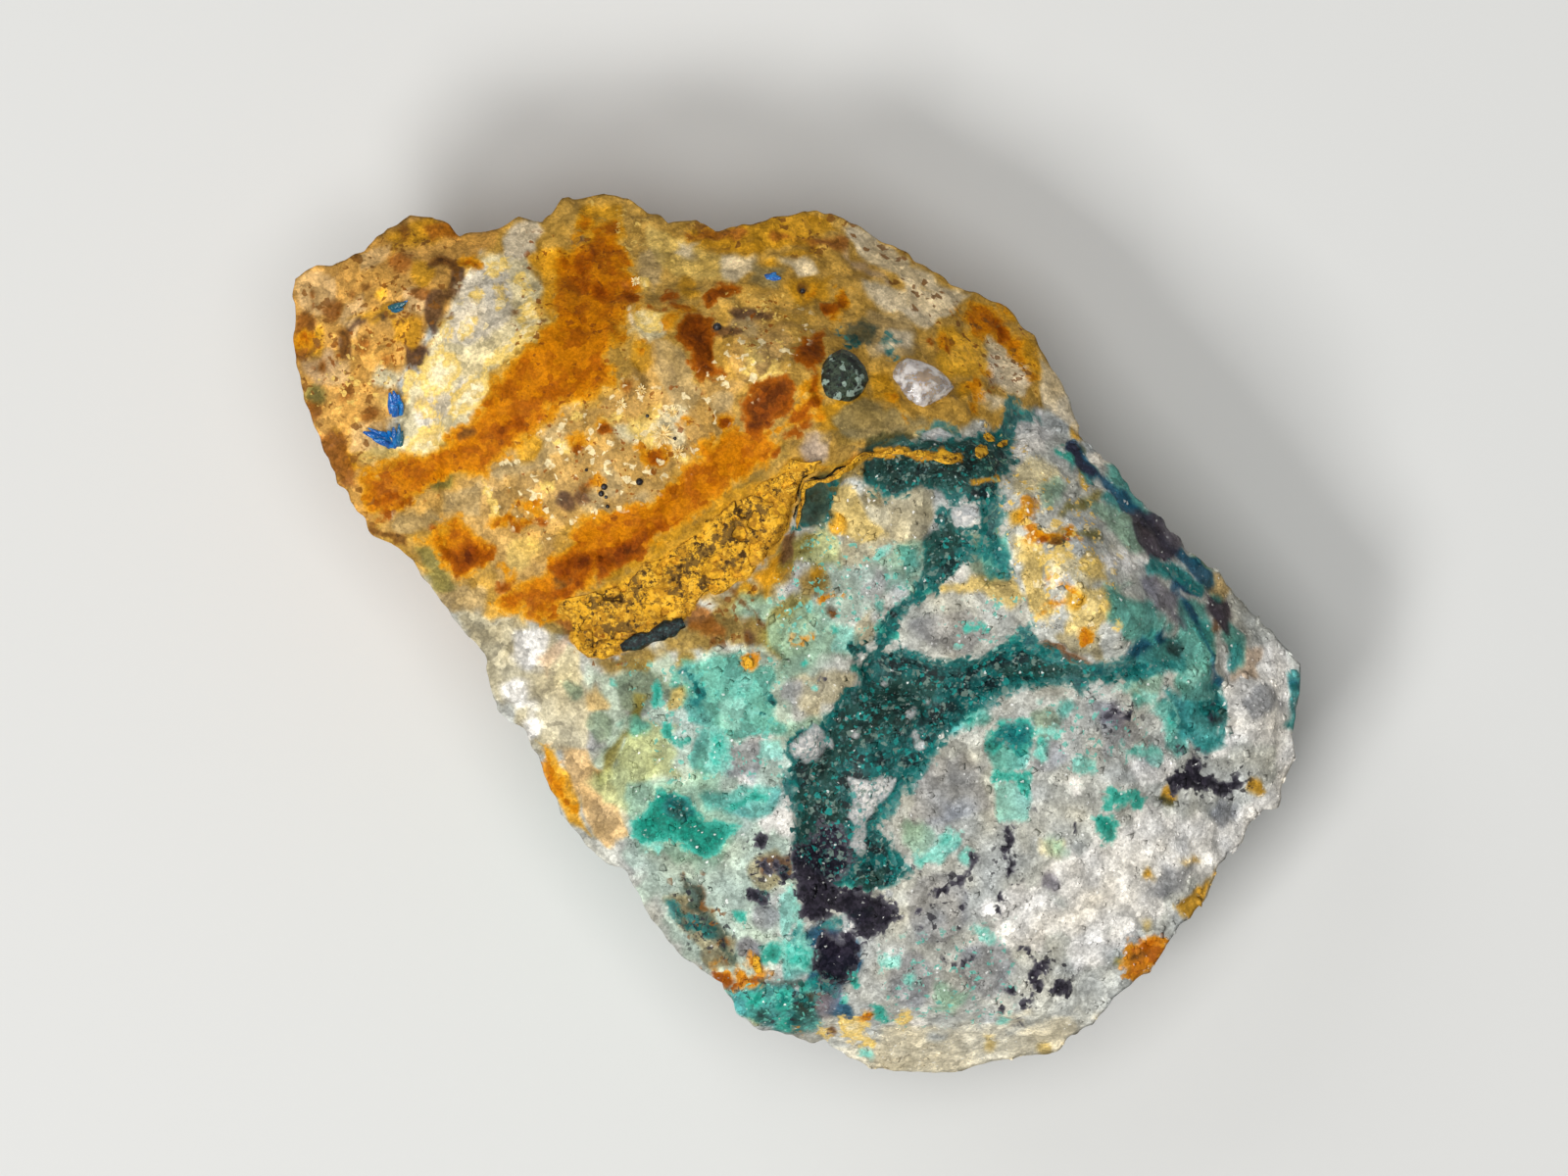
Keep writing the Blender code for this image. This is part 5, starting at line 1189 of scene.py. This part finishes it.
def make_sprays():
    """Fans of needles: each starts at its spray's middle and leans out and up its own way."""
    solids = []
    for index, (x, y, length, count) in enumerate(SPRAYS):
        number = np.arange(count)
        turn = 2 * np.pi * (number + chance(number, index, 0, 181)) / count
        reach = length * (0.6 + 0.5 * chance(number, index, 1, 181))
        lift = 0.15 + 0.5 * chance(number, index, 2, 181) * length / LONGEST_NEEDLES
        foot = on_stone(x, y, -NEEDLE_ROOT)
        for angle, far, high in zip(turn, reach, lift):
            tip = on_stone(x + far * math.cos(angle), y + far * math.sin(angle), high)
            size = NEEDLE_WIDTH * MM, NEEDLE_THICKNESS * MM
            solids.append(blade(foot, tip, *size, sections=4, around=4, blunt=0.4))
    make_rings("cream_sprays", solids, finish_needles(), "cream_crystal_spray")


def make_beads():
    """Small round beads, a little flattened, sitting on the stone."""
    tall = np.linspace(-0.47, 0.47, BEAD_RINGS)[:, None, None] * np.pi
    turn = 2 * np.pi * np.arange(BEAD_SIDES) / BEAD_SIDES
    ring = np.stack([np.cos(turn), np.sin(turn), 0 * turn], axis=1)
    ball = np.cos(tall) * ring[None] + BEAD_FLATNESS * np.sin(tall) * np.array((0, 0, 1.0))
    solids = [
        np.array(on_stone(x, y, 0.5 * radius * PLAN_STEP / MM)) + radius * PLAN_STEP * ball
        for x, y, radius in BEADS
    ]
    make_rings("manganese_beads", solids, finish_beads())


# ---- finishes ------------------------------------------------------------------------------------
def linear(red, green, blue):
    """A display colour as the linear colour that a shader takes."""
    return tuple(((np.clip(c, 0, 1) + 0.055) / 1.055) ** 2.4 for c in (red, green, blue))


class Finish:
    """A node material under construction. Each method adds one node or a few and returns an output
    socket. Patterns are read on Object coordinates, in millimetres."""

    def __init__(self, name):
        self.material = bpy.data.materials.new(name)
        self.material.use_nodes = True
        self.tree = self.material.node_tree
        self.shader = self.tree.nodes["Principled BSDF"]
        self.place = self.scaled(self.node("TexCoord").outputs["Object"], 1 / MM)

    def node(self, kind, inputs=(), **settings):
        """A new node, with its settings made and its inputs fed, each by its name or number."""
        node = self.tree.nodes.new("ShaderNode" + kind)
        for name, value in settings.items():
            setattr(node, name, value)
        for socket, value in dict(inputs).items():
            self.feed(value, node.inputs[socket])
        return node

    def feed(self, value, socket):
        """Links a socket to a socket, or sets it to a number, a vector or a display colour."""
        if isinstance(value, bpy.types.NodeSocket):
            self.tree.links.new(value, socket)
        elif isinstance(value, tuple) and socket.type == "RGBA":
            socket.default_value = (*linear(*value), 1.0)
        else:
            socket.default_value = value

    def vector(self, operation, *values):
        return self.node("VectorMath", enumerate(values), operation=operation).outputs["Vector"]

    def scaled(self, vector, factor):
        inputs = {0: vector, "Scale": factor}
        return self.node("VectorMath", inputs, operation="SCALE").outputs["Vector"]

    def math(self, operation, *values):
        return self.node("Math", enumerate(values), operation=operation).outputs[0]

    def times(self, first, second):
        return self.math("MULTIPLY", first, second)

    def attribute(self, name, output="Fac"):
        return self.node("Attribute", attribute_name=name).outputs[output]

    def split(self, colour):
        return tuple(self.node("SeparateColor", {0: colour}).outputs)

    def noise_colour(self, per_mm, detail=2, roughness=0.5, place=None):
        """A smooth random colour, with this many waves a millimetre."""
        inputs = {"Vector": place or self.place, "Scale": per_mm, "Detail": detail, "Roughness": roughness}
        return self.node("TexNoise", inputs).outputs["Color"]

    def noise(self, per_mm, detail=2, roughness=0.5):
        """Three smooth fields from 0 to 1, with this many waves a millimetre."""
        return self.split(self.noise_colour(per_mm, detail, roughness))

    def cells(self, per_mm, place=None):
        """Cells, this many a millimetre: how far the nearest one's middle is, a random colour for it, and
        where its middle is."""
        cell = self.node("TexVoronoi", {"Vector": place or self.place, "Scale": per_mm})
        return tuple(cell.outputs[name] for name in ("Distance", "Color", "Position"))

    def step(self, value, low, high, to_low=0, to_high=1):
        """Eased from to_low at low to to_high at high."""
        inputs = enumerate((value, low, high, to_low, to_high))
        return self.node("MapRange", inputs, interpolation_type="SMOOTHSTEP").outputs["Result"]

    def mix(self, share, first, second, blend="MIX"):
        """A colour between first and second."""
        inputs = {0: share, 6: first, 7: second}
        return self.node("Mix", inputs, data_type="RGBA", blend_type=blend).outputs[2]

    def over(self, colour, tone, value, low, high, cover=1):
        """The colour with a tone laid over it, from nothing where the value is low to cover where it is
        high."""
        return self.mix(self.step(value, low, high, 0, cover), colour, tone)

    def shaded(self, colour, brightness):
        """The colour times a grey of this brightness."""
        grey = self.node("CombineColor", dict.fromkeys(range(3), brightness)).outputs[0]
        return self.mix(1.0, colour, grey, blend="MULTIPLY")

    def blend(self, share, first, second):
        """A number between first and second."""
        return self.node("Mix", {0: share, 2: first, 3: second}).outputs[0]

    def facets(self, tilt, random_colour):
        """The surface normal leaned another way for each random colour, as in sugary crystal."""
        lean = self.scaled(self.vector("SUBTRACT", random_colour, (0.5, 0.5, 0.5)), tilt)
        normal = self.node("NewGeometry").outputs["Normal"]
        return self.vector("NORMALIZE", self.vector("ADD", normal, lean))

    def bump(self, height, distance, normal=None):
        """A normal as if the surface stood up by the height times a distance in metres."""
        inputs = {"Height": height, "Distance": distance}
        if normal is not None:
            inputs["Normal"] = normal
        return self.node("Bump", inputs).outputs["Normal"]

    def done(self, **inputs):
        """The material, with the shader's own inputs fed; a space in an input's name is written _."""
        for name, value in inputs.items():
            self.feed(value, self.shader.inputs[name.replace("_", " ")])
        return self.material


GRAINS_PER_MM, CRYSTALS_PER_MM, SUGAR_PER_MM = 3.6, 1.3, 9.0
GRAIN_EVENNESS = 0.70  # how far a pattern is one tone over each grain
STONE_WAVES = ((1.1, 0.60), (2.0, 0.60), (3.6, 0.70))  # waves a millimetre, roughness
FLECK_EDGE = 0.015
# For each mineral, from the lowest layer up: its tone at its edge, its main tone and the tone that mottles
# it; its edge's softness and raggedness in plan steps; how far in the edge tone reaches; how much it
# covers; its roughness; the noise field that breaks its edge, and the one that mottles it
LAYERS = (
    ("cream", (0.97, 0.82, 0.42), (1.00, 0.94, 0.76), (0.90, 0.78, 0.50),
     3, 9, 6, 0.95, 0.55, 4, 5),
    ("iron", (0.85, 0.58, 0.09), (0.79, 0.47, 0.00), (0.66, 0.35, 0.00),
     4, 14, 5, 0.97, 0.55, 1, 2),
    ("brown", (0.50, 0.32, 0.12), (0.28, 0.17, 0.08), (0.42, 0.27, 0.12),
     3, 6, 3, 0.90, 0.60, 0, 7),
    ("rust", (0.64, 0.33, 0.01), (0.51, 0.23, 0.01), (0.36, 0.14, 0.00),
     3, 9, 5, 0.96, 0.55, 2, 5),
    ("turquoise", (0.56, 0.82, 0.75), (0.22, 0.68, 0.60), (0.42, 0.78, 0.71),
     4, 9, 5, 0.90, 0.40, 3, 8),
    ("malachite", (0.26, 0.70, 0.62), (0.05, 0.55, 0.47), (0.03, 0.43, 0.37),
     3, 7, 5, 0.96, 0.40, 4, 6),
    ("teal", (0.18, 0.50, 0.48), (0.03, 0.34, 0.36), (0.12, 0.44, 0.43),
     4, 10, 5, 0.90, 0.35, 5, 7),
    ("vein", (0.10, 0.43, 0.41), (0.09, 0.14, 0.15), (0.09, 0.37, 0.36),
     3, 12, 4, 0.97, 0.35, 3, 2),
    ("black_green", (0.17, 0.29, 0.26), (0.09, 0.13, 0.12), (0.15, 0.24, 0.21),
     4, 8, 9, 0.80, 0.40, 4, 8),
    ("window", (0.66, 0.67, 0.66), (0.88, 0.86, 0.83), (0.66, 0.67, 0.67),
     2, 4, 4, 0.95, 0.35, 1, 6),
    ("manganese", (0.34, 0.33, 0.36), (0.10, 0.09, 0.13), (0.19, 0.17, 0.22),
     2, 10, 3, 0.98, 0.55, 5, 7),
    ("ochre", (0.74, 0.55, 0.17), (0.88, 0.66, 0.17), (0.66, 0.46, 0.13),
     2, 5, 4, 0.97, 0.80, 3, 6),
)
# Small flecks scattered over a zone: tone, how high the mottling stands where one lies, and its field
FLECKS = (
    ("cream_flecks", (0.95, 0.87, 0.67), 0.612, 3),
    ("rust_crumbs", (0.54, 0.29, 0.06), 0.620, 7),
    ("brown_crumbs", (0.50, 0.32, 0.13), 0.612, 5),
    ("yellow_crumbs", (0.92, 0.77, 0.40), 0.605, 6),
    ("black_specks", (0.18, 0.17, 0.20), 0.600, 8),
    ("turquoise_specks", (0.40, 0.72, 0.65), 0.600, 7),
)


def finish_stone():
    """Sugary quartz in its own tones, with each mineral laid over it in turn: a mineral covers where its
    depth attribute, broken up by noise, is above nothing, with one tone along its edge and two mottled
    tones inside. Then it is made darker where the fine relief is low, as painted shade, and gets painted
    highlights: small white sparkles."""
    f = Finish("stone_finish")
    _, grain_colour, grain_middle = f.cells(GRAINS_PER_MM)
    to_middle = f.vector("SUBTRACT", grain_middle, f.place)
    grain_place = f.vector("ADD", f.place, f.scaled(to_middle, GRAIN_EVENNESS))
    waves = [f.noise_colour(per_mm, 3, roughness, grain_place) for per_mm, roughness in STONE_WAVES]
    fields = [field for wave in waves for field in f.split(wave)]
    mottle = fields[6:]
    crystal_place = f.vector("ADD", f.place, f.scaled(waves[2], 0.5))
    from_middle, crystal_colour, _ = f.cells(CRYSTALS_PER_MM, crystal_place)
    small_blocks, crystals, sugar = (
        f.split(colour) for colour in (grain_colour, crystal_colour, f.cells(SUGAR_PER_MM)[1])
    )
    detail = f.noise(6.5, roughness=0.7)

    crystal = f.times(f.step(crystals[0], 0, 1, 0.71, 1.16), f.step(from_middle, 0.25, 0.75, 1.06, 0.80))
    milky = f.step(f.math("ADD", mottle[1], f.times(crystals[1], 0.10)), 0.50, 0.66, 0.90, 1.20)
    colour = f.shaded(f.attribute("ground", "Color"), f.times(crystal, milky))
    roughness = 0.34
    for mineral, edge, main, other, soft, ragged, reach, cover, rough, field, tones in LAYERS:
        noise = f.times(f.math("SUBTRACT", fields[field], 0.5), 3 * ragged)
        depth = f.math("ADD", f.attribute(mineral), noise)
        tone = f.over(edge, f.over(main, other, fields[tones], 0.42, 0.60), depth, 0, 2 * reach)
        share = f.step(depth, -soft, soft, 0, cover)
        colour = f.mix(share, colour, tone)
        roughness = f.blend(share, roughness, rough)
    for zone, tone, high, field in FLECKS:
        share = f.step(fields[field], high - FLECK_EDGE, high + FLECK_EDGE, 0, 0.85)
        colour = f.mix(f.times(f.step(f.attribute(zone), -8, 4), share), colour, tone)

    # Brightness that varies at random by sugar grain, by grain and by fine noise; and painted shade, darker
    # where the relief attribute is low.
    grain_tones_and_relief_shade = (
        (sugar[0], 0, 1, 0.95, 1.04), (small_blocks[1], 0, 1, 0.92, 1.06),
        (f.attribute("relief"), -0.15, 0.08, 0.86, 1.0), (detail[0], 0.36, 0.64, 0.82, 1.15),
    )
    colour = f.shaded(colour, functools.reduce(f.times, (f.step(*shade) for shade in grain_tones_and_relief_shade)))
    dark = f.math("MAXIMUM", *(f.step(f.attribute(mineral), 0, 6) for mineral in ("vein", "teal")))
    crumb = f.mix(small_blocks[2], (0.08, 0.40, 0.37), (0.40, 0.50, 0.50))
    colour = f.mix(f.times(dark, f.step(sugar[2], 0.76, 0.95, 0, 0.5)), colour, crumb)
    for speck, tone in ((0, (0.14, 0.56, 0.53)), (1, (0.44, 0.52, 0.48))):
        colour = f.mix(f.times(dark, f.step(mottle[speck], 0.57, 0.63, 0, 0.75)), colour, tone)
    # Painted highlights: small white sparkles laid into the colour over the sparkling zone, and smoother
    # there.
    painted_glint_steps = ((sugar[1], 0.965, 0.975), (mottle[0], 0.50, 0.58), (f.attribute("sparkling"), -10, 10))
    painted_glint = functools.reduce(f.times, (f.step(*edge) for edge in painted_glint_steps))
    colour = f.mix(f.times(painted_glint, f.step(sugar[0], 0, 1, 0.2, 0.7)), colour, (1.0, 1.0, 0.98))
    facets = f.facets(0.34, f.mix(0.4, crystal_colour, grain_colour))
    return f.done(
        Base_Color=colour, Roughness=f.blend(painted_glint, roughness, 0.12), IOR=1.54, Specular_IOR_Level=0.03,
        Normal=f.bump(f.math("ADD", mottle[0], f.times(sugar[0], 0.25)), 0.00006, facets),
    )


def finish_crust():
    """Dull earthy ochre, mottled brighter and duller in broad patches, with fine curving fissures, small
    brown pits in clusters, browner streaks where it is worn thin, and painted shade, near black, along the
    crack."""
    f = Finish("crust_finish")
    broad = f.noise(1.1, 4, 0.62)
    fine = f.noise(3.4, 4, 0.65)
    colour = f.over((0.90, 0.67, 0.17), (0.72, 0.51, 0.13), broad[0], 0.42, 0.56)
    colour = f.over(colour, (0.96, 0.75, 0.26), fine[0], 0.50, 0.60, 0.6)
    colour = f.over(colour, (0.54, 0.38, 0.12), fine[1], 0.52, 0.60, 0.75)
    fissure = f.step(f.math("ABSOLUTE", f.math("SUBTRACT", broad[1], 0.5)), 0.004, 0.014, 0.85, 0)
    colour = f.mix(fissure, colour, (0.32, 0.23, 0.10))
    worn = f.math("ADD", f.attribute("worn"), f.times(f.math("SUBTRACT", fine[2], 0.5), 60.0))
    colour = f.over(colour, f.mix(fine[0], (0.26, 0.19, 0.11), (0.52, 0.39, 0.18)), worn, -3, 2, 0.9)
    small_pits = f.times(f.step(fine[2], 0.56, 0.59, 0, 0.9), f.step(broad[2], 0.46, 0.52))
    colour = f.mix(small_pits, colour, (0.26, 0.18, 0.09))
    colour = f.over(colour, (0.25, 0.17, 0.08), f.attribute("pit"), 0.25, 0.6, 0.9)
    # Painted shade: near black along the crack.
    colour = f.over(colour, (0.09, 0.08, 0.06), f.attribute("crack"), 0.3, 0.6, 0.97)
    normal = f.bump(f.math("SUBTRACT", fine[0], fine[2]), 0.00008)
    return f.done(Base_Color=colour, Roughness=0.85, Normal=normal, Specular_IOR_Level=0.1)


def finish_crack_shade():
    """Painted shade in the crack in the crust: near black, a little browner in places."""
    f = Finish("crack_shade_finish")
    colour = f.over((0.08, 0.07, 0.05), (0.20, 0.16, 0.09), f.noise(2.0)[0], 0.45, 0.6)
    return f.done(Base_Color=colour, Roughness=0.9, Specular_IOR_Level=0.1)


def finish_blades():
    """Deep blue, glassy blades, greener where they are thin."""
    f = Finish("mrazekite_finish")
    colour = f.over((0.00, 0.32, 0.62), (0.04, 0.46, 0.74), f.noise(3.0, 3, 0.6)[0], 0.42, 0.62)
    colour = f.over(colour, (0.05, 0.32, 0.36), f.attribute("greener"), 0.2, 0.9)
    normal = f.bump(f.noise(9.0)[1], 0.00005, f.facets(0.3, f.cells(7.0)[1]))
    return f.done(Base_Color=colour, Roughness=0.25, Normal=normal, IOR=1.7)


def finish_clear_quartz():
    """Clear broken quartz with faint milky veils."""
    f = Finish("clear_quartz_finish")
    veil = f.noise(1.6, 4, 0.6)
    colour = f.over((0.96, 0.95, 0.94), (0.82, 0.80, 0.80), veil[0], 0.45, 0.65)
    clear = f.step(veil[1], 0.42, 0.62, 0.80, 0.35)
    normal = f.bump(f.noise(4.0, 3)[1], 0.00006)
    return f.done(Base_Color=colour, Transmission_Weight=clear, Roughness=0.12, Normal=normal, IOR=1.54)


def finish_nodule():
    """Dark green to black, with pale green on some of its cleaved faces as painted highlights."""
    f = Finish("nodule_finish")
    field = f.noise(1.5, 4, 0.65)
    fine = f.noise(5.0, 4, 0.7)
    face_colour = f.cells(3.2)[1]
    colour = f.over((0.10, 0.13, 0.10), (0.22, 0.27, 0.20), field[0], 0.40, 0.58)
    # Painted highlights: pale green over some of the cleavage cells.
    colour = f.over(colour, (0.60, 0.68, 0.62), f.split(face_colour)[0], 0.70, 0.74, 0.85)
    colour = f.over(colour, (0.28, 0.44, 0.38), fine[0], 0.56, 0.66, 0.5)
    colour = f.over(colour, (0.05, 0.06, 0.05), fine[1], 0.50, 0.60)
    normal = f.bump(fine[2], 0.00012, f.facets(0.5, face_colour))
    return f.done(Base_Color=colour, Roughness=0.4, Normal=normal, IOR=1.6, Specular_IOR_Level=0.25)


def finish_lath():
    """Black-green, with greener crumbs."""
    f = Finish("lath_finish")
    fine = f.noise(4.0, 4, 0.7)
    colour = f.over((0.04, 0.05, 0.05), (0.08, 0.20, 0.20), fine[0], 0.45, 0.65)
    colour = f.over(colour, (0.20, 0.33, 0.32), fine[1], 0.54, 0.66)
    normal = f.bump(fine[2], 0.00014, f.facets(0.4, f.cells(5.0)[1]))
    return f.done(Base_Color=colour, Roughness=0.45, Normal=normal)


def finish_needles():
    """Cream, silky needles."""
    f = Finish("needle_finish")
    field = f.noise(3.0, 3)
    colour = f.over((0.98, 0.90, 0.68), (0.90, 0.76, 0.46), field[0], 0.42, 0.62)
    return f.done(Base_Color=colour, Roughness=0.5, Normal=f.bump(field[1], 0.00005))


def finish_beads():
    """Black, shiny manganese beads."""
    f = Finish("bead_finish")
    fine = f.noise(8.0, 3)
    colour = f.over((0.06, 0.05, 0.06), (0.16, 0.13, 0.14), fine[0], 0.45, 0.65)
    return f.done(Base_Color=colour, Roughness=0.35, Normal=f.bump(fine[1], 0.00006))


# ---- the specimen's pieces -----------------------------------------------------------------------
stone = make_stone()
make_sugar(stone, "sugar_coarse", 0.026, 0.26, 201)
make_sugar(stone, "sugar_fine", 0.085, 0.12, 211)
make_crust()
make_blades()
make_lump(
    "clear_grain", GRAIN_OUTLINE, (941, 394), GRAIN_PROFILE, 13,
    finish_clear_quartz(), "clear_quartz_grain",
)
make_lump(
    "dark_nodule", NODULE_OUTLINE, (860, 389), NODULE_PROFILE, 24,
    finish_nodule(), "green_nodule",
)
make_lath()
make_sprays()
make_beads()

# ---- floor, light and camera ---------------------------------------------------------------------
PICTURE_WIDTH, PICTURE_HEIGHT = 1600, 1200  # plan steps
CAMERA_HEIGHT = 1.2
FOCUS_HEIGHT = 0.014
SENSOR = 36.0
FLOOR_TONE = (0.81, 0.81, 0.80)
FLOOR_HALF = 2
LIGHTS = (  # name, place, size, watts
    ("key", (-0.22, -0.25, 0.45), 0.16, 1.9),
    ("fill", (-0.30, 0.30, 0.40), 0.30, 0.5),
    ("overhead", (-0.02, -0.02, 0.60), 0.30, 1.9),
)
LIGHTS_AIM = (0, 0, 0.01)
SKY_STRENGTH = 0.16


def make_floor():
    corners = [(x * FLOOR_HALF, y * FLOOR_HALF, 0) for x, y in ((-1, -1), (1, -1), (1, 1), (-1, 1))]
    floor = new_piece("floor", corners, [np.array([[0, 1, 2, 3]])])
    floor.data.materials.append(Finish("floor_finish").done(Base_Color=FLOOR_TONE, Roughness=0.9))


def add_light(name, place, size, watts):
    """A square soft light that faces the stone."""
    light = bpy.data.lights.new(name, "AREA")
    light.size = size
    light.energy = watts
    x, y, z = np.array(place) - LIGHTS_AIM
    lamp = place_object(name, light, place)
    lamp.rotation_euler = (math.acos(z / math.hypot(x, y, z)), 0, math.atan2(y, x) + math.pi / 2)


def make_camera():
    """Straight above the plan's picture frame, with a long lens."""
    data = bpy.data.cameras.new("camera")
    data.sensor_width = SENSOR
    data.lens = SENSOR * (CAMERA_HEIGHT - FOCUS_HEIGHT) / (PICTURE_WIDTH * PLAN_STEP)
    middle = plan_place(PICTURE_WIDTH / 2, PICTURE_HEIGHT / 2)
    bpy.context.scene.camera = place_object("camera", data, (*middle, CAMERA_HEIGHT))


make_floor()
for light in LIGHTS:
    add_light(*light)
make_camera()
world = bpy.data.worlds.new("studio")
world.use_nodes = True
sky = world.node_tree.nodes["Background"].inputs
sky["Color"].default_value = (1.0, 1.0, 1.0, 1.0)
sky["Strength"].default_value = SKY_STRENGTH
bpy.context.scene.world = world
bpy.context.scene.view_settings.view_transform = "Standard"
